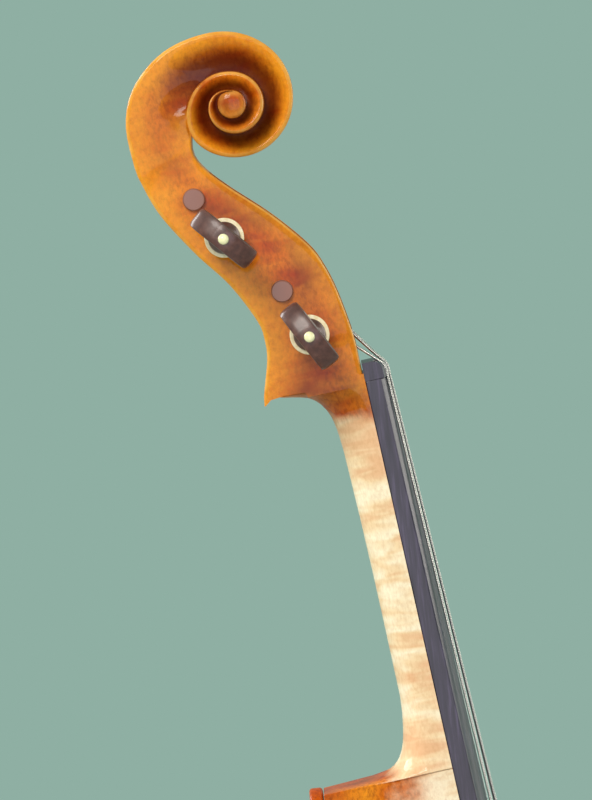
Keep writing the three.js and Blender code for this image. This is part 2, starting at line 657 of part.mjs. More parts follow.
// ---- Tailpiece and the E string's fine tuner ----
function tailRing(along, w, thick) {
  const over = [0.9, 0.5, 0, -0.5, -0.9].map((s) => at(s * w, 2.6 * s * s, along));
  return [at(-w, thick, along), at(w, thick, along), at(w, 3, along), ...over, at(-w, 3, along)];
}
const TUNER = { x: 1.5 * TAIL_SPACING, screw: -17, pivot: -4 };
const tailBlank = loft([
  tailRing(0, 20.5, 5.4),
  tailRing(-12, 20.2, 5.6),
  tailRing(-45, 15.2, 5.8),
  tailRing(-80, 11.6, 5.6),
  tailRing(-TAIL_LENGTH, 10.6, 5),
]);
const tailHoles = STRING_NAMES.slice(0, 3).map((_, i) =>
  new THREE.CylinderGeometry(1.5, 1.5, 20, 12).translate((i - 1.5) * TAIL_SPACING, 2, -9),
);
const tunerSlot = box([TUNER.x - 2.6, -6, -22], [TUNER.x + 2.6, 12, -1.6]);
add("tailpiece", cut(tailBlank, ...tailHoles, tunerSlot), ebony, tailFrame);

const TUNER_FLOOR = 1.7; // top of the tailpiece beside the tuner
const tunerBody = join(
  box([TUNER.x - 3.6, TUNER_FLOOR - 2.6, -23], [TUNER.x + 3.6, TUNER_FLOOR - 1.4, -9]),
  new THREE.CylinderGeometry(2.8, 2.8, 2.4, 20).translate(TUNER.x, TUNER_FLOOR - 3.4, TUNER.screw),
);
const screwHole = new THREE.CylinderGeometry(1.5, 1.5, 30, 20).translate(TUNER.x, 0, TUNER.screw);
add("tuner_frame", cut(tunerBody, screwHole), steel, tailFrame);
const screwLine = [[0, 6.4], [0.8, 6.4], [1.2, 5.6], [1.2, -5], [3.6, -5]];
screwLine.push([4, -5.6], [4, -9], [3.5, -9.8], [0, -9.8]);
const screw = lathe(screwLine.reverse(), 14);
add("tuner_screw", screw.translate(TUNER.x, 0, TUNER.screw), steel, tailFrame);
const leverSide = [
  [TUNER.screw - 2, 6.8],
  [TUNER.screw + 2, 6.8],
  [TUNER.pivot - 2, 5],
  [TUNER.pivot - 1.4, -1.6],
  [TUNER.pivot + 0.6, -2.4],
  [TUNER.pivot + 0.6, 6.4],
  [TUNER.pivot - 2.4, 7.2],
  [TUNER.screw, 8.4],
  [TUNER.screw - 2, 8.2],
];
add("tuner_lever", sideView(leverSide, 1.4).translate(TUNER.x, 0, 0), steel, tailFrame);

// ---- Strings ----
const nutX = (i) => (i - 1.5) * NUT_SPACING;
STRING_NAMES.forEach((name, i) => {
  const r = STRING_RADIUS[name];
  const peg = PEGS[name];
  const x = nutX(i);
  const windingX = WINDING_PLACE[name];
  const lift = r + GAP;
  const overNut = (along, drop) => inNeck(x, along, crown(x) - NUT_TOP - lift + drop);
  const coil = shaftRadius(WINDING_PLACE[name] * peg.side) + GAP + WINDING + lift;
  // The string leaves the nut's back edge and meets its winding at a tangent
  const from = { along: lift, back: crown(x) - 5.2 - lift };
  const reach = Math.hypot(peg.along - from.along, peg.back - from.back);
  const aim = Math.atan2(peg.back - from.back, peg.along - from.along);
  const away = aim + Math.PI + Math.acos(coil / reach);
  const touch = { along: peg.along + coil * Math.cos(away), back: peg.back + coil * Math.sin(away) };
  const bx = (i - 1.5) * BRIDGE_SPACING;
  const bridgeY = bridgeTop(bx) - lift;
  const tx = (i - 1.5) * TAIL_SPACING;
  const end = name === "e" ? inTail(tx, TUNER.pivot + 1.4, -1.6) : inTail(tx, -6.6, -0.2 - lift);
  add(
    `string_${name}`,
    cord(
      [
        inNeck(windingX, touch.along, touch.back),
        inNeck(x, from.along, from.back),
        overNut(-1, 0.6),
        overNut(-3, 0),
        overNut(0.2 - NUT_LENGTH, 0),
        at(bx, bridgeY, BRIDGE_Z + 0.9),
        at(bx, bridgeY, BRIDGE_Z - 0.9),
        ...(name === "e" ? [] : [inTail(tx, -0.2, -0.4 - lift)]),
        end,
      ],
      r,
      6,
    ),
    steel,
  );
});

export default violin;
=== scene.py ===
# %% [markdown]
# # A violin, finished in Blender
#
# The frame holds every piece of the violin as a plain solid at its real size. This lesson gives the visible
# pieces their carved, turned and varnished surfaces. Sizes are in millimetres in the numbers and become
# metres when a mesh is made. +Z runs up the body to the scroll, -Y is the belly side, -X the bass side.

# %% Load the frame
import json
import math

import bpy
from mathutils import Matrix, Vector
from mathutils.kdtree import KDTree


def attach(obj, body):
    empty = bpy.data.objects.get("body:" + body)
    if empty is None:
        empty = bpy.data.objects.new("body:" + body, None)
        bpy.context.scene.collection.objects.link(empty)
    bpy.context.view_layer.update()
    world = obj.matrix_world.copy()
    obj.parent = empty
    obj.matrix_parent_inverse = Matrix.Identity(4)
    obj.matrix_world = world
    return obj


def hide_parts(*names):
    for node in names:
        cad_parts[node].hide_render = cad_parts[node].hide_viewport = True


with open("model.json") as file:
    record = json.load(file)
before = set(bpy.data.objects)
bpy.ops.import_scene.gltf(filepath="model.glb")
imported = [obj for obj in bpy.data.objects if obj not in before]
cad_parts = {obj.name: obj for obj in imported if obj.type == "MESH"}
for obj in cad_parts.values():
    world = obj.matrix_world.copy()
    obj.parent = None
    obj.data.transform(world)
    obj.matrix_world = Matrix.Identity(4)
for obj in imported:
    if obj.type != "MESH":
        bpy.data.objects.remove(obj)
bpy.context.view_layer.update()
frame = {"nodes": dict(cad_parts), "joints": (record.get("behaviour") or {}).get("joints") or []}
MM = 0.001
ROOT = "violin"
print("frame", len(frame["nodes"]), "nodes")

# %% [markdown]
# ## Small tools
#
# A carved outline is easiest to give as a few points with a smooth curve through them. Two kinds of curve
# are enough: one through points on a plane, and one for a value that changes along a line, such as a width,
# which must never swing past the values that it is given.

# %% Curves through a few points
DENSE = 400  # points that a curve is measured on


def through(points, count):
    """A smooth run of count + 1 points through the given ones."""
    ends = [points[0], *points, points[-1]]
    run = []
    for step in range(count + 1):
        place = step / count * (len(points) - 1)
        i = min(len(points) - 2, int(place))
        t = place - i
        weights = (
            (-t + 2 * t * t - t**3) / 2,
            (2 - 5 * t * t + 3 * t**3) / 2,
            (t + 4 * t * t - 3 * t**3) / 2,
            (t**3 - t * t) / 2,
        )
        near = ends[i : i + 4]
        run.append(tuple(sum(w * p[k] for w, p in zip(weights, near)) for k in range(len(points[0]))))
    return run


def evenly(points, count):
    """The same curve, with its points at even distances along it."""
    run = through(points, DENSE)
    lengths = [0.0]
    for a, b in zip(run, run[1:]):
        lengths.append(lengths[-1] + math.dist(a, b))
    out, j = [], 0
    for step in range(count + 1):
        want = lengths[-1] * step / count
        while j < DENSE - 1 and lengths[j + 1] < want:
            j += 1
        t = (want - lengths[j]) / max(1e-9, lengths[j + 1] - lengths[j])
        out.append(tuple(a + (b - a) * t for a, b in zip(run[j], run[j + 1])))
    return out


def value(table, x):
    """A value that changes smoothly from one table entry to the next and never overshoots."""
    if x <= table[0][0]:
        return table[0][1]
    if x >= table[-1][0]:
        return table[-1][1]
    i = max(k for k in range(len(table) - 1) if table[k][0] <= x)
    slope = [(b[1] - a[1]) / (b[0] - a[0]) for a, b in zip(table, table[1:])]

    def tangent(k):
        if k == 0 or k == len(table) - 1:
            return slope[min(k, len(slope) - 1)]
        before, after = slope[k - 1], slope[k]
        return 0.0 if before * after <= 0 else 2 * before * after / (before + after)

    gap = table[i + 1][0] - table[i][0]
    t = (x - table[i][0]) / gap
    return (
        table[i][1] * (1 + 2 * t) * (1 - t) ** 2
        + tangent(i) * gap * t * (1 - t) ** 2
        + table[i + 1][1] * t * t * (3 - 2 * t)
        + tangent(i + 1) * gap * t * t * (t - 1)
    )


def heading(line, i):
    """The direction of a line of points at its point i."""
    before, after = line[max(0, i - 1)], line[min(len(line) - 1, i + 1)]
    return Vector([b - a for a, b in zip(before, after)]).normalized()


def mix(a, b, share):
    return a + (b - a) * share


def ease(x):
    x = min(1.0, max(0.0, x))
    return x * x * (3 - 2 * x)

# %% [markdown]
# Operators act on whatever is selected, so one helper selects a single object, and another finishes a new
# mesh: doubles merged, faces turned outwards, smooth shading that keeps real edges crisp.

# %% Select, build and finish a mesh


def only(obj):
    """Selects one object and nothing else."""
    bpy.ops.object.select_all(action="DESELECT")
    obj.select_set(True)
    bpy.context.view_layer.objects.active = obj


def clean(obj, angle=35, merge=0.004):
    """Merges doubles, turns the faces outwards and smooths all but the real edges."""
    only(obj)
    bpy.ops.object.mode_set(mode="EDIT")
    bpy.ops.mesh.select_all(action="SELECT")
    bpy.ops.mesh.remove_doubles(threshold=merge * MM)
    bpy.ops.mesh.normals_make_consistent(inside=False)
    bpy.ops.object.mode_set(mode="OBJECT")
    bpy.ops.object.shade_smooth_by_angle(angle=math.radians(angle))
    return obj


def drawn(name, points, faces=(), edges=()):
    """A new mesh from points in metres, as it is."""
    mesh = bpy.data.meshes.new(name)
    mesh.from_pydata([tuple(p) for p in points], edges, faces)
    obj = bpy.data.objects.new(name, mesh)
    bpy.context.scene.collection.objects.link(obj)
    return obj


def build(name, points, faces, angle=35, merge=0.004):
    """A mesh from points and the faces between them, cleaned."""
    return clean(drawn(name, points, faces), angle, merge)


def grid_faces(rows, columns, closed=False, start=0):
    """Quads between rows of equally many points."""
    last = columns if closed else columns - 1
    return [
        (
            start + r * columns + c,
            start + r * columns + (c + 1) % columns,
            start + (r + 1) * columns + (c + 1) % columns,
            start + (r + 1) * columns + c,
        )
        for r in range(rows - 1)
        for c in range(last)
    ]


def loft(name, rings, angle=35):
    """Closed rings joined one to the next, with a face on each end."""
    count = len(rings[0])
    faces = grid_faces(len(rings), count, closed=True)
    faces.append(tuple(reversed(range(count))))
    faces.append(tuple((len(rings) - 1) * count + i for i in range(count)))
    return build(name, [p for ring in rings for p in ring], faces, angle)


def turned(name, profile, place=None, steps=48, angle=35):
    """A profile of (radius, height) spun about Z on the lathe, then put in its place."""
    points = [(r * MM, 0, h * MM) for r, h in profile]
    obj = drawn(name, points, edges=[(i, i + 1) for i in range(len(points) - 1)])
    only(obj)
    bpy.ops.object.mode_set(mode="EDIT")
    bpy.ops.mesh.select_all(action="SELECT")
    bpy.ops.mesh.spin(steps=steps, angle=2 * math.pi, center=(0, 0, 0), axis=(0, 0, 1))
    bpy.ops.object.mode_set(mode="OBJECT")
    if place is not None:
        obj.data.transform(place)
    return clean(obj, angle)


def combine(target, tool, operation):
    """A boolean of two closed meshes, after which the tool is gone."""
    only(target)
    modifier = target.modifiers.new(operation, "BOOLEAN")
    modifier.operation = operation
    modifier.solver = "EXACT"
    modifier.object = tool
    bpy.ops.object.modifier_apply(modifier=modifier.name)
    bpy.data.objects.remove(tool)
    return target


def bevelled(obj, width_mm, segments, least_angle=30):
    """Eases the edges that turn by more than an angle in degrees."""
    only(obj)
    modifier = obj.modifiers.new("eased", "BEVEL")
    modifier.width, modifier.segments = width_mm * MM, segments
    modifier.limit_method, modifier.angle_limit = "ANGLE", math.radians(least_angle)
    bpy.ops.object.modifier_apply(modifier=modifier.name)


def joined(name, *objects):
    """Several meshes as one piece."""
    only(objects[0])
    for obj in objects:
        obj.select_set(True)
    bpy.ops.object.join()
    objects[0].name = objects[0].data.name = name
    return objects[0]


def paint(obj, name, values):
    """Keeps one value for each point, which a material can read."""
    layer = obj.data.attributes.new(name, "FLOAT", "POINT")
    layer.data.foreach_set("value", values)


def nearest_among(points):
    """A tree that finds the nearest of the given points."""
    tree = KDTree(len(points))
    for i, point in enumerate(points):
        tree.insert(point, i)
    tree.balance()
    return tree


def place_piece(obj, material, body, slot, *nodes):
    """Gives a finished piece its material and its body, and hides the frame nodes that it stands for."""
    obj.data.materials.clear()
    obj.data.materials.append(material)
    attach(obj, body)
    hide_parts(*nodes)
    print(obj.name, len(obj.data.polygons), "faces")
    return obj

# %% [markdown]
# The neck leans back from the body, so its pieces are drawn in the neck's own directions: along it from the
# nut, positive to the scroll, and back from the fingerboard's glue line. One function turns that into a
# place.

# %% The neck's own directions
NECK_TILT = math.radians(6.5)
NUT_Y, NUT_Z = -9.5, 498.1
BUTTON_Y = 15.2  # inner face of the back, where the heel stands


def neck(x, along, back):
    return Vector(
        (
            x,
            NUT_Y + along * math.sin(NECK_TILT) + back * math.cos(NECK_TILT),
            NUT_Z + along * math.cos(NECK_TILT) - back * math.sin(NECK_TILT),
        )
    ) * MM


def along_back(point):
    """The way back: how far along the neck a place is, and how far behind the glue line."""
    y, z = point.y / MM - NUT_Y, point.z / MM - NUT_Z
    return (
        y * math.sin(NECK_TILT) + z * math.cos(NECK_TILT),
        y * math.cos(NECK_TILT) - z * math.sin(NECK_TILT),
    )

# %% [markdown]
# ## Materials
#
# Each finish starts from the real one: oil varnish over maple, spruce, ebony, rosewood, boxwood, wound
# string and nickel. One function turns a colour that is written as on a screen into light values, and one
# adds a node with its settings and links.

# %% Colours and nodes


def linear(code):
    """A colour written as on a screen, as light values with an alpha of 1."""
    channels = [int(code[i : i + 2], 16) / 255 for i in (1, 3, 5)]
    return (*[c / 12.92 if c <= 0.04045 else ((c + 0.055) / 1.055) ** 2.4 for c in channels], 1.0)


def node(tree, kind, inputs=None, **settings):
    """Adds a node, sets its settings, and sets or links its inputs."""
    made = tree.nodes.new(kind)
    for key, setting in settings.items():
        setattr(made, key, setting)
    for key, given in (inputs or {}).items():
        if isinstance(given, bpy.types.NodeSocket):
            tree.links.new(given, made.inputs[key])
        else:
            made.inputs[key].default_value = given
    return made


def blank(name, **shader_inputs):
    """A new material with its shader, and the piece's own coordinates in metres."""
    material = bpy.data.materials.new(name)
    material.use_nodes = True
    tree = material.node_tree
    tree.nodes.clear()
    shader = node(tree, "ShaderNodeBsdfPrincipled", shader_inputs)
    output = node(tree, "ShaderNodeOutputMaterial", {"Surface": shader.outputs[0]})
    output.location.x = 300
    place = node(tree, "ShaderNodeTexCoord").outputs["Object"]
    return material, tree, shader, place


def stretched(tree, place, scale, turn=(0, 0, 0)):
    """Coordinates turned and scaled, so that grain runs where it should."""
    return node(
        tree, "ShaderNodeMapping", {"Vector": place, "Scale": scale, "Rotation": turn}
    ).outputs["Vector"]


def noise(tree, place, size_mm, detail=3.0, roughness=0.55, distortion=0.0):
    """Soft noise whose lumps are about size_mm across."""
    return node(
        tree,
        "ShaderNodeTexNoise",
        {
            "Vector": place,
            "Scale": 1 / (size_mm * MM),
            "Detail": detail,
            "Roughness": roughness,
            "Distortion": distortion,
        },
    ).outputs["Fac"]


def ramp(tree, fac, *stops):
    """Colours at places from 0 to 1."""
    made = node(tree, "ShaderNodeValToRGB", {"Fac": fac})
    elements = made.color_ramp.elements
    while len(elements) < len(stops):
        elements.new(0.5)
    for element, (position, code) in zip(elements, stops):
        element.position = position
        element.color = linear(code)
    return made.outputs["Color"]


def blend_colours(tree, share, first, second):
    """Two colours mixed by a share from 0 to 1. A Mix node's colour sockets are its 7th and 8th inputs."""
    inputs = {"Factor": share, 6: first, 7: second}
    return node(tree, "ShaderNodeMix", inputs, data_type="RGBA").outputs[2]


def maths(tree, kind, *inputs, clamp=False):
    return node(tree, "ShaderNodeMath", dict(enumerate(inputs)), operation=kind, use_clamp=clamp).outputs[0]


def spread(tree, fac, low, high, to_low=0.0, to_high=1.0):
    """Stretches the part of a pattern between low and high over the whole range."""
    return node(
        tree,
        "ShaderNodeMapRange",
        {"Value": fac, "From Min": low, "From Max": high, "To Min": to_low, "To Max": to_high},
    ).outputs["Result"]


def bump(tree, shader, height, depth_mm, strength=1.0, socket="Normal"):
    made = node(tree, "ShaderNodeBump", {"Height": height, "Distance": depth_mm * MM, "Strength": strength})
    tree.links.new(made.outputs["Normal"], shader.inputs[socket])


def painted(tree, name):
    return node(tree, "ShaderNodeAttribute", attribute_name=name).outputs["Fac"]


def colour_of(tree, shader, colour):
    tree.links.new(colour, shader.inputs["Base Color"])

# %% [markdown]
# Maple under oil varnish. The wood shows flames, bands across the grain about 5 mm apart, and fine flecks
# of about 1 mm. The varnish is orange-red where it lies thick and golden where it is thin, so it clouds
# over tens of millimetres. On the head it gets painted shade in the hollows and a painted highlight along
# the edges, broken up like worn varnish. A clear coat gives the wet gloss. The same wood is left bare on
# the neck's handle, so a painted value runs from bare to varnished.

# %% Varnished and bare maple


def maple_colours(tree, place, flame_turn, flame_mm=5.0, clouding=1.0):
    """Returns the varnished colour and the bare colour."""
    across = stretched(tree, place, (1, 1, 1), flame_turn)
    wander = noise(tree, stretched(tree, across, (0.2, 0.2, 1)), flame_mm, detail=2, distortion=0.4)
    flames = spread(tree, wander, 0.36, 0.64)
    cloudy = noise(tree, place, 26, detail=2)
    clouds = spread(tree, cloudy, 0.36, 0.66, 0.5 - 0.5 * clouding, 0.5 + 0.5 * clouding)
    patches = spread(tree, noise(tree, place, 9, detail=3, roughness=0.6), 0.35, 0.7)
    flecked = noise(tree, stretched(tree, across, (1, 1, 0.6)), 1.1, detail=3, roughness=0.65)
    flecks = spread(tree, flecked, 0.42, 0.66)
    deep = ramp(tree, clouds, (0.0, "#741A00"), (0.3, "#B23C00"), (0.65, "#D46402"), (1.0, "#EE9410"))
    red = blend_colours(tree, maths(tree, "MULTIPLY", patches, 0.5 * clouding), deep, linear("#A02A00"))
    lit = blend_colours(tree, maths(tree, "MULTIPLY", flames, 0.34), red, linear("#EC9426"))
    varnished = blend_colours(tree, maths(tree, "MULTIPLY", flecks, 0.5), lit, linear("#6A1C02"))
    bare = ramp(tree, flames, (0.0, "#E6B48A"), (0.5, "#F1D0A6"), (1.0, "#FAE8CA"))
    bare = blend_colours(tree, maths(tree, "MULTIPLY", flecks, 0.25), bare, linear("#C58A5A"))
    return varnished, bare


PURFLING_AT = 4.5  # in from the plate's edge
PURFLING_HALF, WHITE_HALF = 0.62, 0.2  # half the width of all three strips, and of the white one


def purfled(tree, colour):
    """Three inlaid strips, black, white and black, along the plate's edge."""
    distance = painted(tree, "from_edge")
    whole = maths(tree, "COMPARE", distance, PURFLING_AT, PURFLING_HALF)
    middle = maths(tree, "COMPARE", distance, PURFLING_AT, WHITE_HALF)
    black = blend_colours(tree, whole, colour, linear("#1C1210"))
    return blend_colours(tree, middle, black, linear("#E2B46C"))


def varnished_maple(name, flame_turn=(0, 0, 0), flame_mm=5.0, worn_and_shaded=False, plate=False):
    """Maple under varnish. On the head, painted values add painted shade in the hollows, a painted highlight
    along the edges broken up like wear, bare wood and gold, and a plate is purfled.
    """
    gloss = {
        "Roughness": 0.5,
        "Specular IOR Level": 0.08,
        "Coat Weight": 0.3,
        "Coat Roughness": 0.07,
        "Coat IOR": 1.5,
    }
    material, tree, shader, place = blank(name, **gloss)
    varnished, bare = maple_colours(tree, place, flame_turn, flame_mm, 1.0 if worn_and_shaded else 0.35)
    colour = purfled(tree, varnished) if plate else varnished
    if worn_and_shaded:
        hollow, edge, cover = painted(tree, "hollow"), painted(tree, "edge"), painted(tree, "varnish")
        mottled = spread(tree, noise(tree, place, 2.0, detail=4, roughness=0.7), 0.3, 0.7, 1.0, 0.45)
        # Lighter and more golden along the head's back edge, less along its front edge and in the hollows.
        golden_share = maths(tree, "MULTIPLY", painted(tree, "gold"), mottled)
        colour = blend_colours(tree, golden_share, colour, linear("#F09A1C"))
        # Painted shade: the hollows and the inside of the pegbox are darkened towards deep red-brown.
        colour = blend_colours(tree, maths(tree, "MULTIPLY", hollow, 0.86), colour, linear("#4A0E00"))
        # Painted highlight along the edges and chamfers, broken up by noise like worn varnish.
        rubbed = spread(tree, noise(tree, place, 6), 0.3, 0.6, 0.1, 0.8)
        worn = maths(tree, "MULTIPLY", edge, rubbed, clamp=True)
        colour = blend_colours(tree, worn, colour, linear("#E8A850"))
        torn = spread(tree, noise(tree, place, 7, detail=4), 0.3, 0.7, -0.16, 0.16)
        ragged = maths(tree, "ADD", cover, torn)
        colour = blend_colours(tree, spread(tree, ragged, 0.2, 0.8), bare, colour)
    colour_of(tree, shader, colour)
    grain = noise(tree, stretched(tree, place, (1, 1, 0.08)), 0.7, detail=3)
    bump(tree, shader, grain, 0.04, 0.6)
    coat_waves = noise(tree, place, 3.5, detail=2)
    bump(tree, shader, coat_waves, 0.05, 0.35, "Coat Normal")
    return material


head_maple = varnished_maple("maple, oil varnish worn to bare wood", (0.12, 0, 0), worn_and_shaded=True)
back_maple = varnished_maple("maple, oil varnish", (0, 0, 0), flame_mm=7.0, plate=True)
rib_maple = varnished_maple("maple ribs, oil varnish", (0, 0.06, 0), flame_mm=6.0)

# %% [markdown]
# Spruce has straight grain: pale early wood and a thin dark line of late wood each year, about 1 mm apart
# and closer to the middle joint. A wave texture across X gives the lines, and a little noise keeps them
# alive.

# %% Varnished spruce
YEAR_MM = 1.2


def spruce(name, varnish):
    material, tree, shader, place = blank(name, **{"Roughness": 0.4, "IOR": 1.5})
    if varnish:
        shader.inputs["Coat Weight"].default_value = 0.6
        shader.inputs["Coat Roughness"].default_value = 0.1
    year = stretched(tree, place, (1, 0, 0.004))
    waver = noise(tree, stretched(tree, place, (1, 1, 0.05)), 9, detail=2)
    sideways = maths(tree, "MULTIPLY", waver, 2.2 * MM)
    shift = node(tree, "ShaderNodeCombineXYZ", {"X": sideways}).outputs[0]
    warped = node(tree, "ShaderNodeVectorMath", {0: year, 1: shift}, operation="ADD").outputs[0]
    # A wave of scale 1 is 2 * pi / 20 of a metre long
    lines = node(
        tree,
        "ShaderNodeTexWave",
        {"Vector": warped, "Scale": math.pi / 10 / (YEAR_MM * MM)},
        wave_type="BANDS",
        bands_direction="X",
        wave_profile="SAW",
    ).outputs["Fac"]
    late = maths(tree, "POWER", lines, 3.0)
    clouds = spread(tree, noise(tree, place, 40, detail=2), 0.35, 0.65)
    if varnish:
        early = ramp(tree, clouds, (0.0, "#C06C16"), (0.5, "#CE7E1E"), (1.0, "#D88C28"))
        dark = linear("#7A320C")
    else:
        early = ramp(tree, clouds, (0.0, "#DDBB84"), (1.0, "#E9CF9E"))
        dark = linear("#B98850")
    colour = blend_colours(tree, maths(tree, "MULTIPLY", late, 0.75), early, dark)
    if varnish:
        colour = purfled(tree, colour)
    colour_of(tree, shader, colour)
    bump(tree, shader, late, 0.03, 0.5)
    return material


belly_spruce = spruce("spruce, oil varnish", varnish=True)
inner_spruce = spruce("spruce, bare", varnish=False)

# %% [markdown]
# Ebony is nearly black with fine brown-grey pores, planed and oiled, so it is satin and picks up a cool
# sheen. Rosewood shows red-brown streaks along the peg. Boxwood and bone-like trim are cream with faint
# streaks. The pegs' far ends show pale end grain, which is painted on them.

# %% Ebony, rosewood, boxwood and bare wood
PORE_MM = 0.35


def streaked(name, stops, size_mm, stretch, roughness, coat=0.0, depth_mm=0.03):
    """Wood whose colour runs in streaks, with pores in the same direction."""
    polish = {"Roughness": roughness, "IOR": 1.5, "Coat Weight": coat, "Coat Roughness": 0.15}
    material, tree, shader, place = blank(name, **polish)
    grain = stretched(tree, place, stretch)
    streaks = spread(tree, noise(tree, grain, size_mm, detail=4, roughness=0.6), 0.3, 0.7)
    colour_of(tree, shader, ramp(tree, streaks, *stops))
    pores = noise(tree, grain, PORE_MM, detail=2)
    bump(tree, shader, pores, depth_mm, 0.7)
    return material


ALONG_Z = (1, 1, 0.06)
ALONG_X = (0.08, 1, 1)
EBONY = [(0, "#1E1824"), (0.6, "#332A3C"), (1, "#4C4058")]
ROSEWOOD = [(0, "#452622"), (0.5, "#54302A"), (1, "#643E36")]
END_GRAIN = "#8E5C4E"
ebony = streaked("ebony, oiled", EBONY, 1.2, ALONG_Z, 0.42, coat=0.15)
rosewood = streaked("rosewood, polished", ROSEWOOD, 1.6, ALONG_X, 0.4, coat=0.2, depth_mm=0.006)
rosewood_tree = rosewood.node_tree
rosewood_shader = rosewood_tree.nodes["Principled BSDF"]
streak_colour = rosewood_shader.inputs["Base Color"].links[0].from_socket
at_end = painted(rosewood_tree, "end_grain")
end_colour = blend_colours(rosewood_tree, at_end, streak_colour, linear(END_GRAIN))
colour_of(rosewood_tree, rosewood_shader, end_colour)
boxwood = streaked("boxwood, polished", [(0, "#E6CC96"), (1, "#F8EAC8")], 1.5, ALONG_X, 0.35, coat=0.3)
bone = streaked("bone, polished", [(0, "#F0E2AC"), (1, "#FFF6C8")], 1.5, ALONG_X, 0.25, coat=0.5)
bare_wood = streaked("willow, bare", [(0, "#D9B986"), (1, "#EBD3A6")], 1.4, ALONG_Z, 0.75, depth_mm=0.05)
bridge_maple = streaked(
    "bridge maple, bare", [(0, "#C2925A"), (0.5, "#D9B07A"), (1, "#E6C594")], 1.1, (0.12, 1, 1), 0.6
)

# %% [markdown]
# Metals keep the default index. A wound string is a core wrapped in fine flat wire: the wrap is about 0.1
# mm wide, too fine to show, so it is drawn 0.5 mm wide along the string's own length, with painted shade
# between the turns.

# %% Strings and metal
WRAP_MM = 0.5


def dulled(name, code, roughness, metallic=1.0):
    """Metal, or moulded plastic, that is a little greyer in patches."""
    material, tree, shader, place = blank(name, **{"Metallic": metallic, "Roughness": roughness})
    worn = maths(tree, "MULTIPLY", noise(tree, place, 2.5, detail=3), 0.3)
    colour_of(tree, shader, blend_colours(tree, worn, linear(code), linear("#8E8A86")))
    bump(tree, shader, noise(tree, place, 0.5), 0.01, 0.4)
    return material


def wound(name, code, dark, metallic=1.0, roughness=0.28):
    """Flat wire or thread wrapped round a string, from its painted length in millimetres."""
    material, tree, shader, _ = blank(name, **{"Metallic": metallic, "Roughness": roughness})
    along = maths(tree, "MULTIPLY", painted(tree, "along"), 2 * math.pi / WRAP_MM)
    turns = spread(tree, maths(tree, "SINE", along), -1, 1)
    # Painted shade between the turns: each turn of the wrap runs from the dark colour to the light one.
    colour_of(tree, shader, blend_colours(tree, turns, linear(dark), linear(code)))
    bump(tree, shader, turns, 0.06, 0.8)
    return material


nickel = dulled("nickel plate", "#D9D5CE", 0.22)
silver_wound = wound("string, silver wound", "#E8E2DC", "#9A938C")
steel_string = dulled("string, plain steel", "#DAD8D4", 0.2)
# Each thread has its colour and a darker one, which is painted shade between its turns.
silk = {
    name: wound(f"silk thread, {name}", code, dark, metallic=0.0, roughness=0.6)
    for name, code, dark in (
        ("g", "#7A3A7E", "#4C2050"),
        ("d", "#3E7C58", "#235038"),
        ("a", "#355F9E", "#1E3B6A"),
        ("e", "#B23A3A", "#7A2020"),
    )
}
black_cord = dulled("tail cord, moulded", "#232326", 0.55, metallic=0.0)

# %% [markdown]
# ## The head and neck
#
# The scroll is cut as a ribbon that winds in to the eye. Across the ribbon lie a chamfer, a hollowed cove
# and the wall of the next turn, and that wall's top is the chamfer of the turn inside it. So the ribbon is
# drawn by its angle round the eye and its share of the way in, and each turn's inner edge is the next one's
# outer edge. No operator winds such a shape, so it is made in mesh code. Below the volute the same ribbon
# runs down the pegbox cheek, from the back edge to the front edge.

# %% The head's outlines
EYE = (82.5, 20.2)
EYE_RADIUS = 4.0
CHIN_BACK = [
    (-6, 30.4), (-2.3, 29.7), (7, 26.7), (13, 26.1), (19, 27), (31, 32.6), (42.3, 40.5), (55.8, 48.2),
    (67.7, 51.9),
]
THROAT_TURN = 245  # degrees round the eye from the neck's direction, where the volute leaves the throat
BOX_TURN = THROAT_TURN - 360
LAST_TURN = 735
TURN_STEP = 5
RADII = [
    (-115, 35), (-103, 33.1), (-90, 32), (-76, 30.5), (-49, 26.5), (-14, 22.5), (13, 21.2), (58, 19.4),
    (103, 17.7), (148, 16.4), (193, 15.6), (235, 15.4), (260, 14.2), (283, 12.8), (328, 10.6), (373, 9.5),
    (463, 9.2), (553, 8.4), (643, 6.6), (LAST_TURN, EYE_RADIUS), (1100, EYE_RADIUS),
]
TURN_HALVES = [
    (-115, 8.8), (-60, 7.7), (0, 6.9), (90, 6.7), (180, 7.6), (245, 9), (330, 11.5), (400, 13.5),
    (500, 16), (600, 18), (LAST_TURN, 19.6), (1100, 19.6),
]
BACK_HALVES = [(-6, 12.9), (5, 13.5), (30, 12.2), (68, 8.8)]
FRONT_HALVES = [(-6.3, 12.0), (5.4, 12.1), (12, 13.3), (30, 12.1), (76.2, 9.0)]
RIM_LAND = 0.9  # how far the edge stands in from the cheek, which makes the chamfer
ACROSS = [1, 0.96, 0.88, 0.74, 0.52, 0.3, 0.1, 0, -0.1, -0.3, -0.52, -0.74, -0.88, -0.96, -1]
FLUTE = {0.74: 0.75, 0.52: 1.35, 0.3: 1.05, 0.1: 0.2}


def on_spiral(turn):
    radius, angle = value(RADII, turn), math.radians(turn)
    return (EYE[0] + radius * math.cos(angle), EYE[1] - radius * math.sin(angle))


THROAT = on_spiral(THROAT_TURN)
FRONT_EDGE = [
    (-6.3, 0.3), (2, 0.3), (9, 0.4), (21.6, 2.1), (30, 4.2), (37.3, 7.5), (48.3, 16.1), (59.2, 26.7),
    (66, 32.4), (71, 34.6), THROAT,
]
BOX_STATIONS = 48

stations = []
backs, fronts = evenly(CHIN_BACK, BOX_STATIONS), evenly(FRONT_EDGE, BOX_STATIONS)
for i in range(BOX_STATIONS):
    back, front = backs[i], fronts[i]
    halves = value(BACK_HALVES, back[0]), value(FRONT_HALVES, front[0])
    stations.append((back, front, *halves, None))
for turn in range(BOX_TURN, LAST_TURN + 1, TURN_STEP):
    inner = turn + 360
    halves = value(TURN_HALVES, turn), value(TURN_HALVES, inner)
    stations.append((on_spiral(turn), on_spiral(inner), *halves, turn))
rim_count = BOX_STATIONS + (THROAT_TURN - BOX_TURN) // TURN_STEP + 1
print("head stations", len(stations))
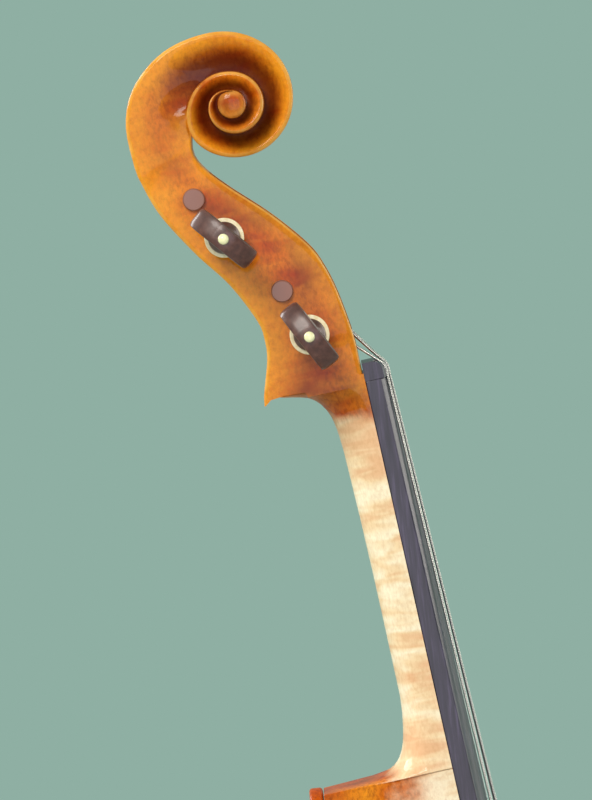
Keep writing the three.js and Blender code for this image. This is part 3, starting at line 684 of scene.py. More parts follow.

# %% [markdown]
# One station's section runs in from the edge. The cove deepens from the throat on, where the flat cheek
# turns into the volute. Each point also keeps how much painted shade it gets in the hollow and how much
# painted highlight near an edge, which the varnish needs.

# %% One section of the ribbon
COVE_DEPTH, COVE_SHARE = 3.3, 0.42  # millimetres, and at most this share of the ribbon's width
CHAMFER, CHAMFER_SHARE = 1.0, 0.16
COVE_STEPS = 9


def section(back, front, half_back, half_front, turn):
    length = math.dist(back, front)
    volute = 0.0 if turn is None else ease((turn - BOX_TURN) / 80)
    depth = min(COVE_DEPTH, COVE_SHARE * length)
    chamfer = min(CHAMFER, CHAMFER_SHARE * length)
    foot_gap = min(mix(0.7, 0.4, volute), 0.2 * length)
    rows = []

    def row(distance, x, hollow, edge):
        share = distance / max(length, 1e-6)
        rows.append((mix(back[0], front[0], share), mix(back[1], front[1], share), x, hollow, edge))

    # The rows at the chamfer carry the painted edge highlight, and the cove rows carry painted shade that
    # deepens towards the next turn's wall.
    row(0, half_back - RIM_LAND, 0, 0.7)
    row(0.3 * chamfer, half_back - 0.4, 0, 1)
    row(chamfer, half_back, 0, 0.45)
    row(1.12 * chamfer, half_back, 0, 0)
    start, foot = 1.12 * chamfer, length - foot_gap
    for step in range(1, COVE_STEPS + 1):
        share = step / COVE_STEPS
        flat = mix(half_back, half_front, share)
        cove = half_back - depth * math.sin(math.pi / 2 * share) ** 1.5
        hollow = volute * ease((share - 0.1) / 0.6)
        row(mix(start, foot, share), mix(flat, cove, volute), hollow, 0)
    if volute:
        low, high = rows[-1][2], half_front - RIM_LAND
        for share in (0.5, 0.85):
            row(length - foot_gap * (1 - share), mix(low, high, share), volute * (1 - share), 0)
    else:
        row(length - 0.5 * foot_gap, half_front - 0.25, 0, 0.8)
        row(length - 0.2 * foot_gap, half_front - 0.6, 0, 1)
    row(length, half_front - RIM_LAND, 0, 0.8)
    return rows

# %% [markdown]
# The outside of the head is a strip from edge to edge: two flutes with a ridge between them run up the back
# and round the volute to the throat. A plain strip closes the front, a cap closes the chin, and a low dome
# makes each eye. All are sewn together by merging the points that they share.

# %% Sew the head together


def head_surface():
    sections = [section(*station) for station in stations]
    points, faces, marks = [], [], []

    def sheet(rows):
        start, columns = len(points), len(rows[0])
        for row in rows:
            for along, back, x, hollow, edge in row:
                points.append(neck(x, along, back))
                marks.append((hollow, edge))
        faces.extend(grid_faces(len(rows), columns, start=start))

    for side in (1, -1):
        sheet([[(a, b, x * side, h, e) for a, b, x, h, e in rows] for rows in sections])
    rim, rim_line = [], [rows[0][:2] for rows in sections[:rim_count]]
    for i, (a, b) in enumerate(rim_line):
        x, way = sections[i][0][2], heading(rim_line, i)
        fade = min(1, i / 5, (rim_count - 1 - i) / 8)
        row = []
        for share in ACROSS:
            sink = FLUTE.get(abs(share), 0) * fade
            # Painted highlight on the rim's outer edges and its middle ridge; the flutes get painted shade
            # as deep as they sink.
            edge = 0.5 if abs(share) == 1 else (0.35 if share == 0 else 0)
            row.append((a + way[1] * sink, b - way[0] * sink, x * share, sink * 0.35, edge))
        rim.append(row)
    sheet(rim)
    front = []
    for rows in sections[: BOX_STATIONS + 1]:
        a, b, x, _, _ = rows[-1]
        front.append([(a, b, x * share, 0, 0.3) for share in ACROSS])
    sheet(front)
    sheet([[(a, b, x * share, h, e) for share in ACROSS] for a, b, x, h, e in sections[0]])
    eye_half = value(TURN_HALVES, LAST_TURN) - RIM_LAND
    for side in (1, -1):
        dome = []
        for share, lift in ((1, 0), (0.93, 0.45), (0.8, 0.8), (0.55, 1.1), (0.28, 1.25), (0.0, 1.3)):
            ring = []
            for turn in range(LAST_TURN, LAST_TURN + 361, TURN_STEP):
                a, b = (mix(c, p, share) for c, p in zip(EYE, on_spiral(turn)))
                # The eye's outer rings carry a painted highlight.
                ring.append((a, b, side * (eye_half + lift), 0, 0.5 if lift < 1 else 0.1))
            dome.append(ring)
        sheet(dome)
    return points, faces, marks


head_points, head_faces, head_marks = head_surface()
head = build("neck_and_scroll_carved", head_points, head_faces, angle=40, merge=0.02)
print("head", len(head.data.vertices), "points")

# %% [markdown]
# The handle is a row of D-shaped rings from the chin to the heel: flat under the fingerboard, rounded
# behind. At the heel the rings grow deep and square until they stand on the button of the back. The chin is
# first hollowed underneath, so that the handle runs out into it in one curve.

# %% The handle and heel
HANDLE_DEPTHS = [
    (-141, 60), (-121.9, 60), (-121.5, 29), (-121.2, 25), (-120.5, 20.2), (-119.2, 17), (-116.7, 14.6),
    (-113.5, 13), (-108, 11.6), (-99, 10.5), (-60, 10.3), (-24, 10.8), (-18, 11.3), (-13.6, 12.2),
    (-9.6, 14.3), (-6.9, 17.6), (-5.6, 22.5), (-4.8, 27),
]
HANDLE_SQUARES = [
    (-141, 7), (-121.9, 5), (-120, 2.9), (-113, 2.3), (-99, 2.05), (-18, 2.05), (-9, 2.3), (-4, 3),
]
HANDLE_HALVES = [(-141, 16.5), (-120, 16.0), (0, 12.0)]
HANDLE_PLACES = [
    -141, -128, -121.95, -121.85, -121.7, -121.5, -121.35, -121.2, -120.9, -120.5, -119.9, -119.2, -118,
    -116.7, -115, -113.5, -111, -108, -104, -99, -90, -75, -60, -45, -30, -24, -20, -18, -15.5, -13.6,
    -11.6, -9.6, -8.2, -7.4, -6.9, -6.2, -5.6, -5.2, -4.8, -3,
]
ROUND_STEPS = 40


def handle_ring(along):
    depth, square = value(HANDLE_DEPTHS, along), value(HANDLE_SQUARES, along)
    button = (BUTTON_Y - NUT_Y - along * math.sin(NECK_TILT)) / math.cos(NECK_TILT)
    ring = []
    for step in range(ROUND_STEPS + 1):
        angle = math.pi * step / ROUND_STEPS
        across, back = math.cos(angle), math.sin(angle)
        across = math.copysign(abs(across) ** (2 / square), across)
        back = depth * abs(back) ** (2 / square)
        taper = 1 - 0.34 * ease((min(back, button) - 6) / 34)
        ring.append(neck(value(HANDLE_HALVES, along) * taper * across, along, min(back, button) + 0.02))
    return ring


CHIN_CUT = [(-14, 29.9), (-5.9, 29.9), (-4.6, 28.2), (-4.2, 24), (-4.6, 18), (-14, 14)]
chin_tool = loft("chin_cut", [[neck(x, a, b) for a, b in CHIN_CUT] for x in (-20, 20)])
combine(head, chin_tool, "DIFFERENCE")
handle = loft("handle", [handle_ring(along) for along in HANDLE_PLACES], angle=40)
combine(head, handle, "UNION")

# %% [markdown]
# The pegbox is hollowed from the front with chisels, so it is cut out of the closed head. The tool is a
# prism whose sides close in towards the throat as the cheeks do.

# %% Hollow the pegbox
CAVITY = [
    (2.2, -4), (2.2, 16.8), (6.2, 20.2), (17, 20.6), (26, 24), (36, 31), (46, 38), (56, 43.4), (62, 45),
    (66, 43.6), (67, 39), (64, 30), (52, 8), (40, -4),
]
CAVITY_HALVES = 8.4, 5.2  # half its width at the nut's end and at the throat
cavity_rings = [
    [neck(side * mix(*CAVITY_HALVES, (a - 6) / 62), a, b) for a, b in CAVITY] for side in (-1, 1)
]
cavity = loft("cavity", cavity_rings)
bevelled(cavity, 1.2, 2)
combine(head, cavity, "DIFFERENCE")
clean(head, 40, 0.002)

# %% [markdown]
# The varnish follows four painted values: painted shade in the hollows and inside the pegbox, a painted
# highlight along the edges that is broken up like worn varnish, whether it is varnished or bare, and how
# golden it is. It is more golden along the head's back edge and less along its front edge. The cuts made
# new points, so each point looks up the nearest one that was drawn.

# %% Paint the hollows' shade, the edges' highlights, bare wood and gold
BARE_FROM, FADE = -9.0, 12.0
HEEL_FROM, HEEL_BACK = -100.0, 12.0
BACK_GLOW, FRONT_GLOW = 9.0, 5.0
BACK_GOLD, FRONT_GOLD = 0.85, 0.6
INSIDE_SHADE = 0.55  # how much painted shade lies inside the pegbox
marked = nearest_among(head_points)
back_rim = nearest_among([(*station[0], 0) for station in stations[:rim_count]])
front_rim = nearest_among([(*station[1], 0) for station in stations[:BOX_STATIONS]])


def gold(along, back):
    near_back, near_front = (rim.find((along, back, 0))[2] for rim in (back_rim, front_rim))
    back_share = BACK_GOLD * math.exp(-((near_back / BACK_GLOW) ** 2))
    return max(back_share, FRONT_GOLD * math.exp(-((near_front / FRONT_GLOW) ** 2)))


looked_up = []
for vertex in head.data.vertices:
    _, i, distance = marked.find(vertex.co)
    along, back = along_back(vertex.co)
    inside = 1.0 if distance > 0.6 * MM and along > 6 else 0.0
    looked_up.append(
        (
            max(head_marks[i][0], INSIDE_SHADE * inside) if along > -6 else 0.0,
            head_marks[i][1] if distance < 0.5 * MM and along > -6 else 0.0,
            max(
                ease((along - BARE_FROM + FADE) / FADE),
                ease((back - HEEL_BACK) / FADE) if along < HEEL_FROM else 0.0,
            ),
            gold(along, back) * (1 - head_marks[i][0]) ** 2,
        )
    )
for k, name in enumerate(("hollow", "edge", "varnish", "gold")):
    paint(head, name, [marks[k] for marks in looked_up])
place_piece(head, head_maple, ROOT, "varnished_maple", "neck_and_scroll")

# %% [markdown]
# ## Pegs
#
# A peg is turned on the lathe: a shank that tapers 1 in 30, a shoulder, a collar with an inlaid ring, a
# thin neck. The thumb-piece is then filed flat and hollowed on both faces, so it isn't round and can't be
# spun. It is drawn as rings that grow from the middle of the piece out to its heart-shaped edge.

# %% Where the pegs stand
PEGBOX_HALF = [(8, 13.6), (75, 9)]
PEG_TURNS = {"g": 64.6, "e": 40, "d": 51.5, "a": 75}  # degrees below the line across the neck
PEG_JOINTS = {j["name"][-1]: j for j in frame["joints"] if j["name"].startswith("turn_peg")}
COLLAR_AT = 4.6  # shoulder beyond the cheek
THUMB_AT = COLLAR_AT + 6.2


def peg_place(name):
    """The matrix that stands a peg drawn about Z across the pegbox, and how far out the cheek is."""
    joint = PEG_JOINTS[name]
    centre, axis = Vector(joint["pos_m"]), Vector(joint["axis"]).normalized()
    turn = math.radians(PEG_TURNS[name])
    wide = (neck(0, -math.sin(turn), -math.cos(turn)) - neck(0, 0, 0)).normalized()
    basis = Matrix((wide, axis.cross(wide), axis)).transposed().to_4x4()
    return Matrix.Translation(centre) @ basis, value(PEGBOX_HALF, along_back(centre)[0])


def shank(out):
    return 3.45 + out / 60

# %% The thumb-piece
HEART = [(0, 2.9), (0.10, 6.2), (0.24, 9.7), (0.40, 10.6), (0.56, 10.3), (0.72, 8.2), (0.86, 5.0), (1, 2.3)]
THUMB_LONG = 14.2
THUMB_RIM = 3.2  # half the thickness at the edge, and all over near the tip
THUMB_HOLLOW = 9.5  # how far out the hollow keeps its depth
THUMB_RINGS = [
    (0.0, 2.05), (0.3, 2.05), (0.55, 2.25), (0.76, 2.75), (0.88, 3.2), (0.95, 3.05), (0.99, 2.2),
    (1.0, 1.2),
]
THUMB_AROUND = 72


def thumb_edge(share):
    """The heart's edge at a share of the way round: out along the peg and to one side."""
    side = 1 if share < 0.5 else -1
    way = share * 2 if share < 0.5 else 2 - share * 2
    dip = 0.9 * ease((way - 0.8) / 0.2)
    return side * value(HEART, way) * ease(min(way, 1 - way) * 30 + 0.0001) ** 0.25, way * THUMB_LONG - dip


def thumb_piece(name, start):
    middle = (0.0, 0.5 * THUMB_LONG)
    rows = []
    sides = [(s, 1) for s in THUMB_RINGS] + [(s, -1) for s in reversed(THUMB_RINGS)]
    for (reach, thick), side in sides:
        row = []
        for k in range(THUMB_AROUND):
            x, z = thumb_edge(k / THUMB_AROUND)
            high = mix(middle[1], z, reach)
            full = thick
            if reach < 0.9:  # the hollow runs out towards the tip
                full = mix(thick, max(thick, THUMB_RIM), ease((high - THUMB_HOLLOW) / 3))
            row.append(Vector((mix(middle[0], x, reach), side * full, start + high)) * MM)
        rows.append(row)
    faces = grid_faces(len(rows), THUMB_AROUND, closed=True)
    return build(name, [p for row in rows for p in row], faces, angle=50)

# %% Turn and file the four pegs
for name, joint in PEG_JOINTS.items():
    place, cheek = peg_place(name)
    end, shoulder = -cheek - 1.6, cheek + COLLAR_AT
    profile = [
        (0, end + 0.1), (1.8, end + 0.05), (2.9, end), (shank(end) - 0.12, end + 0.15),
        (shank(end), end + 0.45), (shank(cheek), cheek), (shank(shoulder) - 0.1, shoulder - 0.8),
        (4.0, shoulder - 0.1), (4.9, shoulder + 0.5), (5.3, shoulder + 1.1), (5.3, shoulder + 1.6),
        (4.6, shoulder + 1.8), (4.6, shoulder + 3.3), (4.75, shoulder + 3.5), (4.7, shoulder + 4.1),
        (4.2, shoulder + 4.9), (3.5, shoulder + 5.6), (3.0, shoulder + 6.6), (2.9, shoulder + 8.2),
        (2.0, shoulder + 9.4), (0, shoulder + 9.6),
    ]
    stick = turned(f"stick_{name}", profile, steps=56)
    thumb = thumb_piece(f"thumb_{name}", cheek + THUMB_AT)
    peg = joined(f"peg_{name}_turned", stick, thumb)
    paint(peg, "end_grain", [1.0 if v.co.z < (end + 0.8) * MM else 0.0 for v in peg.data.vertices])
    peg.data.transform(place)
    clean(peg, 40, 0.001)
    body = joint["child"]
    place_piece(peg, rosewood, body, "rosewood", f"peg_{name}")

    low, high = shoulder + 1.75, shoulder + 3.35
    ring = [
        (4.55, low), (5.6, low), (5.82, low + 0.25), (5.82, high - 0.25), (5.6, high), (4.55, high),
        (4.55, low),
    ]
    collar = turned(f"peg_{name}_ring", ring, place, steps=56)
    place_piece(collar, boxwood, body, "boxwood", f"peg_{name}_collar")

    tip = cheek + THUMB_AT + THUMB_LONG - 1.1
    dome = [
        (0, tip - 1.2), (1.6, tip - 1.2), (1.6, tip + 0.1), (1.45, tip + 0.6), (1.05, tip + 1.05),
        (0.5, tip + 1.3), (0, tip + 1.38),
    ]
    pip = turned(f"peg_{name}_pip_end", dome, place, steps=32)
    place_piece(pip, bone, body, "boxwood", f"peg_{name}_pip")

# %% [markdown]
# ## Strings
#
# Each string is one drawn tube: from its winding on the peg, over the nut, over the bridge, and down to the
# tailpiece. A coloured silk wrapping covers it at both ends. The turns on the peg are a helix that turns
# with the peg, and so they are a piece of their own. A tube along a route is sewn in mesh code, because its
# wrapping has to know how far along the string it is.

# %% A tube that knows its own length
STRING_RADII = {"g": 0.41, "d": 0.38, "a": 0.33, "e": 0.15}
TUBE_SIDES = 12


def tube(name, route, radius, sides=TUBE_SIDES):
    """A closed tube along a route of points in metres, with its length painted on it in millimetres."""
    rings, lengths, travelled = [], [], 0.0
    normal = None
    for i, point in enumerate(route):
        way = heading(route, i)
        if normal is None:
            normal = way.orthogonal().normalized()
        normal = (normal - way * normal.dot(way)).normalized()
        side = way.cross(normal)
        if i:
            travelled += (point - route[i - 1]).length / MM
        ring = []
        for k in range(sides):
            angle = 2 * math.pi * k / sides
            ring.append(point + (normal * math.cos(angle) + side * math.sin(angle)) * radius * MM)
        rings.append(ring)
        lengths.extend([travelled] * sides)
    faces = grid_faces(len(rings), sides, closed=True)
    faces.append(tuple(reversed(range(sides))))
    faces.append(tuple((len(rings) - 1) * sides + k for k in range(sides)))
    obj = drawn(name, [p for ring in rings for p in ring], faces)
    paint(obj, "along", lengths)
    return clean(obj, 50, 0.0001)

# %% The fingerboard and the nut
BOARD_LONG = 270.0
CROWN_RADIUS = 42.0
NUT_LONG = 5.4
BOARD_END = -NUT_LONG - BOARD_LONG
NUT_HIGH = 7.5
BOARD_FREE, BOARD_HOLLOW = -138, 3.2  # where the board leaves the neck, and how deep it is hollowed there


def crown(x):
    return CROWN_RADIUS - math.sqrt(CROWN_RADIUS**2 - x * x)


def board_ring(along):
    share = along / BOARD_END
    half, side, top = mix(12.0, 21.2, share), mix(4.75, 5.6, share), mix(7.05, 9.0, share)
    free = ease((BOARD_FREE - along) / 9)
    ring = [neck(-half + 0.25, along, -0.02)]
    for across in (-0.8, -0.5, 0, 0.5, 0.8):
        ring.append(neck(half * across, along, -0.02 - BOARD_HOLLOW * free * math.cos(across * 1.5)))
    ring += [neck(half - 0.25, along, -0.02), neck(half, along, -0.3), neck(half, along, -side + 0.5)]
    ring.append(neck(half - 0.12, along, -side + 0.05))
    for step in range(1, 20):
        x = half * (1 - step / 10) * 0.985
        ring.append(neck(x, along, crown(x) - top))
    ring += [
        neck(-half + 0.12, along, -side + 0.05), neck(-half, along, -side + 0.5),
        neck(-half, along, -0.3),
    ]
    return ring


board_places = [
    -NUT_LONG - 0.02, -6, -30, -60, -90, -120, -135, -138, -140.5, -143, -145.5, -148, -170, -200, -230,
    -255, -270, -274, -274.9, BOARD_END + 0.1,
]
board = loft("fingerboard_planed", [board_ring(a) for a in board_places], angle=30)
bevelled(board, 0.25, 2, 50)
clean(board, 35, 0.001)
place_piece(board, ebony, ROOT, "ebony", "fingerboard")

# %% [markdown]
# The nut is filed from a small block: level with the board at its front edge, rounded over towards the
# pegbox, with a shallow groove for each string. It is drawn as slices from side to side that follow the
# board's crown, and the grooves are cut with thin tubes.

# %% File the nut
NUT_HALF = 12.0
NUT_ROUND = [(0, 0.12), (0.12, 0.0), (0.55, 0.02), (0.75, 0.35), (0.9, 1.1), (1, 2.6)]
nut_rings = []
for step in range(21):
    x = NUT_HALF * (2 * step / 20 - 1)
    ring = [neck(x, 0.02 - NUT_LONG, -0.02), neck(x, -0.02, -0.02)]
    for share, drop in reversed(NUT_ROUND):
        ring.append(neck(x, 0.02 + share * (NUT_LONG - 0.04) - NUT_LONG, crown(x) - NUT_HIGH + drop))
    nut_rings.append(ring)
nut = loft("nut_filed", nut_rings, angle=35)
STRING_ORDER = "gdae"
NUT_SPACE = 5.5
GROOVE = [(-7.4, 0.05), (-5.4, 0), (-2.4, 0), (-1, 0.7), (1.1, 3.2)]
for i, name in enumerate(STRING_ORDER):
    x = (i - 1.5) * NUT_SPACE
    radius = STRING_RADII[name] + 0.06
    low = crown(x) - NUT_HIGH - 0.15 * radius
    groove = tube(f"groove_{name}", [neck(x, a, low + drop) for a, drop in GROOVE], radius, 10)
    combine(nut, groove, "DIFFERENCE")
bevelled(nut, 0.3, 2, 60)
clean(nut, 35, 0.001)
place_piece(nut, ebony, ROOT, "ebony", "nut")

# %% [markdown]
# The windings ride on their pegs: four close turns of a helix, wrapped in coloured silk thread. The
# string itself leaves the coil where a straight line from the nut just touches it.

# %% Windings and strings
BRIDGE_Z, BRIDGE_TOP, BRIDGE_SPACE = 169.0, -61.5, 11.2
TAIL_SPACE = 9.3
TAIL_Y, TAIL_Z, TAIL_TILT = -45.5, 113.0, math.radians(11)
WINDING_X = {"g": -5.4, "d": -2.7, "a": 2.7, "e": 5}
COIL_TURNS = 4
COIL_STEPS = 26


def tail(x, along, back):
    """A place in the tailpiece's own directions, along it from its string end and back from its top."""
    return Vector(
        (
            x,
            TAIL_Y + back * math.cos(TAIL_TILT) - along * math.sin(TAIL_TILT),
            TAIL_Z + back * math.sin(TAIL_TILT) + along * math.cos(TAIL_TILT),
        )
    ) * MM


def bridge_top(x):
    return BRIDGE_TOP + crown(x) + 0.07 * x


def string_route(name, i):
    """The string from its coil to the tailpiece."""
    r = STRING_RADII[name]
    joint = PEG_JOINTS[name]
    peg_along, peg_back = along_back(Vector(joint["pos_m"]))
    side = 1 if joint["axis"][0] > 0 else -1
    x = (i - 1.5) * NUT_SPACE
    coil = shank(WINDING_X[name] * side) + r + 0.05
    nut_top = crown(x) - NUT_HIGH - 0.15 * r
    leave = (-0.4, nut_top + 1.4)
    reach = math.dist((peg_along, peg_back), leave)
    aim = math.atan2(peg_back - leave[1], peg_along - leave[0])
    away = aim + math.pi + math.acos(coil / reach)
    touch = (peg_along + coil * math.cos(away), peg_back + coil * math.sin(away))
    bridge_x, tail_x = (i - 1.5) * BRIDGE_SPACE, (i - 1.5) * TAIL_SPACE
    over = bridge_top(bridge_x) - 0.25 * r
    near_nut = [mix(a, b, 0.96) for a, b in zip(touch, leave)]
    route = [
        neck(WINDING_X[name], *touch), neck(mix(WINDING_X[name], x, 0.96), *near_nut),
        neck(x, -1.2, nut_top + 0.55), neck(x, -2.2, nut_top + 0.12), neck(x, -3.2, nut_top),
        neck(x, 0.1 - NUT_LONG, nut_top),
    ]
    notch = ((1.3, 0.06), (0, 0), (-1.3, 0.1))
    rest = [Vector((bridge_x, over + lift, BRIDGE_Z + z)) * MM for z, lift in notch]
    route += [route[-1].lerp(rest[0], share) for share in (0.25, 0.5, 0.75)] + rest
    if name == "e":
        route += [tail(tail_x, -2.8, -1.75), tail(tail_x, -4.3, -1.6)]
    else:
        route += [
            tail(tail_x, 0.4, -r - 0.05), tail(tail_x, -6.0, -r + 0.15), tail(tail_x, -8.4, 0.9),
            tail(tail_x, -9, 3.0),
        ]
    return route


for i, name in enumerate(STRING_ORDER):
    route = string_route(name, i)
    radius = STRING_RADII[name]
    string = tube(f"string_{name}_drawn", route, radius)
    material, slot = (steel_string, "plain_steel") if name == "e" else (silver_wound, "wound_string")
    place_piece(string, material, ROOT, slot, f"string_{name}")
    wrap_until = route[0].lerp(route[1], 0.55)
    silk_end = tube(f"silk_{name}_peg_end", [route[0], wrap_until], radius + 0.05)
    place_piece(silk_end, silk[name], ROOT, slot)
    if name != "e":
        tail_wrap = [route[-3].lerp(route[-4], share) for share in (0.12, 0.0)]
        tail_silk = tube(f"silk_{name}_tail_end", [*tail_wrap, *route[-2:]], radius + 0.05)
        place_piece(tail_silk, silk[name], ROOT, slot)

    joint = PEG_JOINTS[name]
    place, _ = peg_place(name)
    side = 1 if joint["axis"][0] > 0 else -1
    centre = WINDING_X[name] * side
    pitch = 2 * radius + 0.16
    helix = []
    for step in range(COIL_TURNS * COIL_STEPS + 1):
        turn = 2 * math.pi * step / COIL_STEPS
        height = centre + pitch * (step / COIL_STEPS - COIL_TURNS / 2)
        size = shank(height) + radius + 0.04
        helix.append(place @ (Vector((size * math.cos(turn), size * math.sin(turn), height)) * MM))
    coil = tube(f"winding_{name}", helix, radius + 0.04, 10)
    place_piece(coil, silk[name], joint["child"], slot, f"peg_{name}_winding")

# %% [markdown]
# ## The body
#
# Belly and back are carved plates. The outline has three bouts a side with a short straight cut at each
# corner. Across a plate the edge is half round, then comes a low crest, a channel cut round the whole
# plate, and from there the arch rises to the middle. The purfling, three thin inlaid strips, lies in the
# channel. A carved surface like this is a height over a plan, so the plate is drawn as rings from the
# outline to a ridge down the middle, and its height comes from the real distance to the edge.

# %% The body's outline
BODY_BOTTOM = 9.0
LOWER_BOUT = [
    (0, 0), (32, 1.8), (60, 9), (83, 25), (98, 48), (104, 76), (102, 93), (96.5, 106), (92.6, 114.5),
    (93.6, 122),
]
WAIST = [
    (89.8, 126.6), (83, 126.4), (75, 129.5), (66.5, 137.5), (60, 150), (56.8, 166), (56, 183),
    (58.2, 200), (63.5, 212.5), (71, 220.5), (77.8, 223.6),
]
UPPER_BOUT = [
    (81.2, 227), (79.2, 235), (80, 248), (83.6, 270), (82.5, 292), (74, 317), (57, 337.5), (34, 349.5),
    (12, 354.5), (0, 355),
]
RIB_HALF, EDGE, ARCH, PLATE = 15.5, 4.0, 11.5, 3.0
OVERHANG, RIB = 2.5, 1.0
RIDGE_LOW, RIDGE_HIGH = 84.0, 302.0


def bout(points, count):
    return [(x, z + BODY_BOTTOM) for x, z in evenly(points, count)]


lower, waist, upper = bout(LOWER_BOUT, 76), bout(WAIST, 56), bout(UPPER_BOUT, 72)
edge_line, ridge_line = [], []
for x, z in lower:
    edge_line.append((x, z))
    ridge_line.append(RIDGE_LOW + max(0, z - RIDGE_LOW) * 32 / 47)
for i, (x, z) in enumerate(waist):
    edge_line.append((x, z))
    ridge_line.append(119 + 120 * i / (len(waist) - 1))
for x, z in upper:
    edge_line.append((x, z))
    ridge_line.append(min(RIDGE_HIGH, 243 + max(0, z - 236) * 59 / 66))
outline = edge_line + [(-x, z) for x, z in reversed(edge_line[1:-1])]
ridges = ridge_line + list(reversed(ridge_line[1:-1]))
print("outline", len(outline), "points")

# %% Height of a plate
edge_tree = nearest_among(
    [
        (mix(x, after_x, step / 4), 0, mix(z, after_z, step / 4))
        for (x, z), (after_x, after_z) in zip(outline, outline[1:] + outline[:1])
        for step in range(4)
    ]
)
CREST_AT, CREST_HIGH = 2.2, 0.3
CHANNEL_AT, CHANNEL_DEEP, CHANNEL_WIDE = 6.5, 0.75, 3.6


def from_edge(x, z):
    return edge_tree.find((x, 0, z))[2]


def long_arch(z):
    return 1 - 0.35 * ((min(RIDGE_HIGH, max(RIDGE_LOW, z)) - BRIDGE_Z - 15) / 118) ** 2


def swell(share):
    return (1 + math.cos(math.pi * min(1, share / 0.93))) / 2


def edge_rounding(distance):
    """How much of a plate's round edge is missing at a distance from its rim."""
    half = EDGE / 2
    return half - math.sqrt(max(0, half * half - max(0, half - distance) ** 2))


def outer_height(share, z, distance):
    """How far a plate's outer face stands from the middle of the body."""
    arch = RIB_HALF + EDGE + ARCH * long_arch(z) * swell(share)
    carving = CREST_HIGH * math.exp(-(((distance - CREST_AT) / 1.6) ** 2))
    carving -= CHANNEL_DEEP * math.exp(-(((distance - CHANNEL_AT) / CHANNEL_WIDE) ** 2))
    return arch + carving - edge_rounding(distance)


def inner_height(share, z, distance):
    return RIB_HALF + (ARCH + EDGE - PLATE) * long_arch(z) * swell(share) + edge_rounding(distance)


OUTER_SHARES = [
    1, 0.999, 0.997, 0.994, 0.99, 0.985, 0.979, 0.972, 0.964, 0.955, 0.945, 0.934, 0.92, 0.905, 0.888,
    0.87, 0.85, 0.825, 0.8, 0.765, 0.73, 0.69, 0.65, 0.6, 0.55, 0.5, 0.44, 0.38, 0.31, 0.24, 0.16, 0.08,
    0,
]
INNER_SHARES = [0.997, 0.99, 0.979, 0.96, 0.93, 0.88, 0.8, 0.7, 0.58, 0.45, 0.3, 0.15, 0]


NO_EDGE = 50.0  # the inner face's distance, which keeps the purfling off it


def carve_plate(name, side):
    """Rings from the inner ridge out to the edge and back in over the outer face."""
    points, edges = [], []
    rows = [(share, False) for share in reversed(INNER_SHARES)] + [(share, True) for share in OUTER_SHARES]
    for share, outer in rows:
        for (x, z), ridge in zip(outline, ridges):
            px, pz = x * share, mix(ridge, z, share)
            distance = from_edge(px, pz)
            y = outer_height(share, pz, distance) if outer else inner_height(share, pz, distance)
            points.append(Vector((px, side * y, pz)) * MM)
            edges.append(distance if outer else NO_EDGE)
    faces = grid_faces(len(rows), len(outline), closed=True)
    plate = build(name, points, faces, angle=50, merge=0.02)
    return plate, points, edges

# %% [markdown]
# The sound holes are cut through the finished belly: a stem that swells in the middle, and a round eye at
# each end. A button at the top of the back stands under the heel.

# %% Tools for the cuts
STEM = [(24, 203), (30, 207.5), (36.5, 201), (38, 185), (40, 168), (42, 150), (44, 139), (50, 133)]
STEM_HALVES = [(0, 1.0), (0.12, 1.3), (0.3, 2.6), (0.5, 3.2), (0.7, 2.6), (0.88, 1.3), (1, 1.0)]
UPPER_HOLE, LOWER_HOLE = (24, 206, 3.2), (51, 136, 4.3)
NICK = 1.5


def prism(name, line, low, high):
    """An outline in x and z, as a solid from low to high in y."""
    return loft(name, [[Vector((x, y, z)) * MM for x, z in line] for y in (low, high)])


def rod(name, x, z, radius, low, high, sides=40):
    """A round bar along y."""
    bpy.ops.object.select_all(action="DESELECT")
    bpy.ops.mesh.primitive_cylinder_add(
        vertices=sides,
        radius=radius * MM,
        depth=(high - low) * MM,
        location=(x * MM, (low + high) / 2 * MM, z * MM),
        rotation=(math.pi / 2, 0, 0),
    )
    bpy.ops.object.transform_apply()
    bpy.context.object.name = name
    return bpy.context.object


def block(name, low, high):
    """A box between two corners in millimetres."""
    bpy.ops.object.select_all(action="DESELECT")
    bpy.ops.mesh.primitive_cube_add(size=1, location=[(a + b) / 2 * MM for a, b in zip(low, high)])
    bpy.context.object.scale = [(b - a) * MM for a, b in zip(low, high)]
    bpy.ops.object.transform_apply()
    bpy.context.object.name = name
    return bpy.context.object


def stem_line(side):
    run = evenly(STEM, 44)
    left, right = [], []
    for i, (x, z) in enumerate(run):
        way = heading(run, i)
        share = i / (len(run) - 1)
        half = value(STEM_HALVES, share) + NICK * max(0, 1 - abs(share - 0.5) * 70)
        left.append((side * (x - way[1] * half), z + way[0] * half))
        right.append((side * (x + way[1] * half), z - way[0] * half))
    return left + right[::-1]


belly, belly_points, belly_edges = carve_plate("top_plate_carved", -1)
for side in (1, -1):
    combine(belly, prism("stem", stem_line(side), -60, 0), "DIFFERENCE")
    for x, z, radius in (UPPER_HOLE, LOWER_HOLE):
        combine(belly, rod("eye", side * x, z, radius, -60, 0), "DIFFERENCE")
for name, half, low, high in (("mortise", 16.9, 357.4, 380), ("saddle_notch", 18.2, 0, 16.2)):
    combine(belly, block(name, (-half, -40, low), (half, 0, high)), "DIFFERENCE")
clean(belly, 45, 0.002)
back, back_points, back_edges = carve_plate("back_plate_carved", 1)
BUTTON_TOP, BUTTON_RADIUS = 374, 10.8
button = rod("button", 0, BUTTON_TOP - BUTTON_RADIUS, BUTTON_RADIUS, RIB_HALF, RIB_HALF + EDGE, 64)
bevelled(button, 0.9, 3)
combine(back, button, "UNION")
clean(back, 45, 0.002)


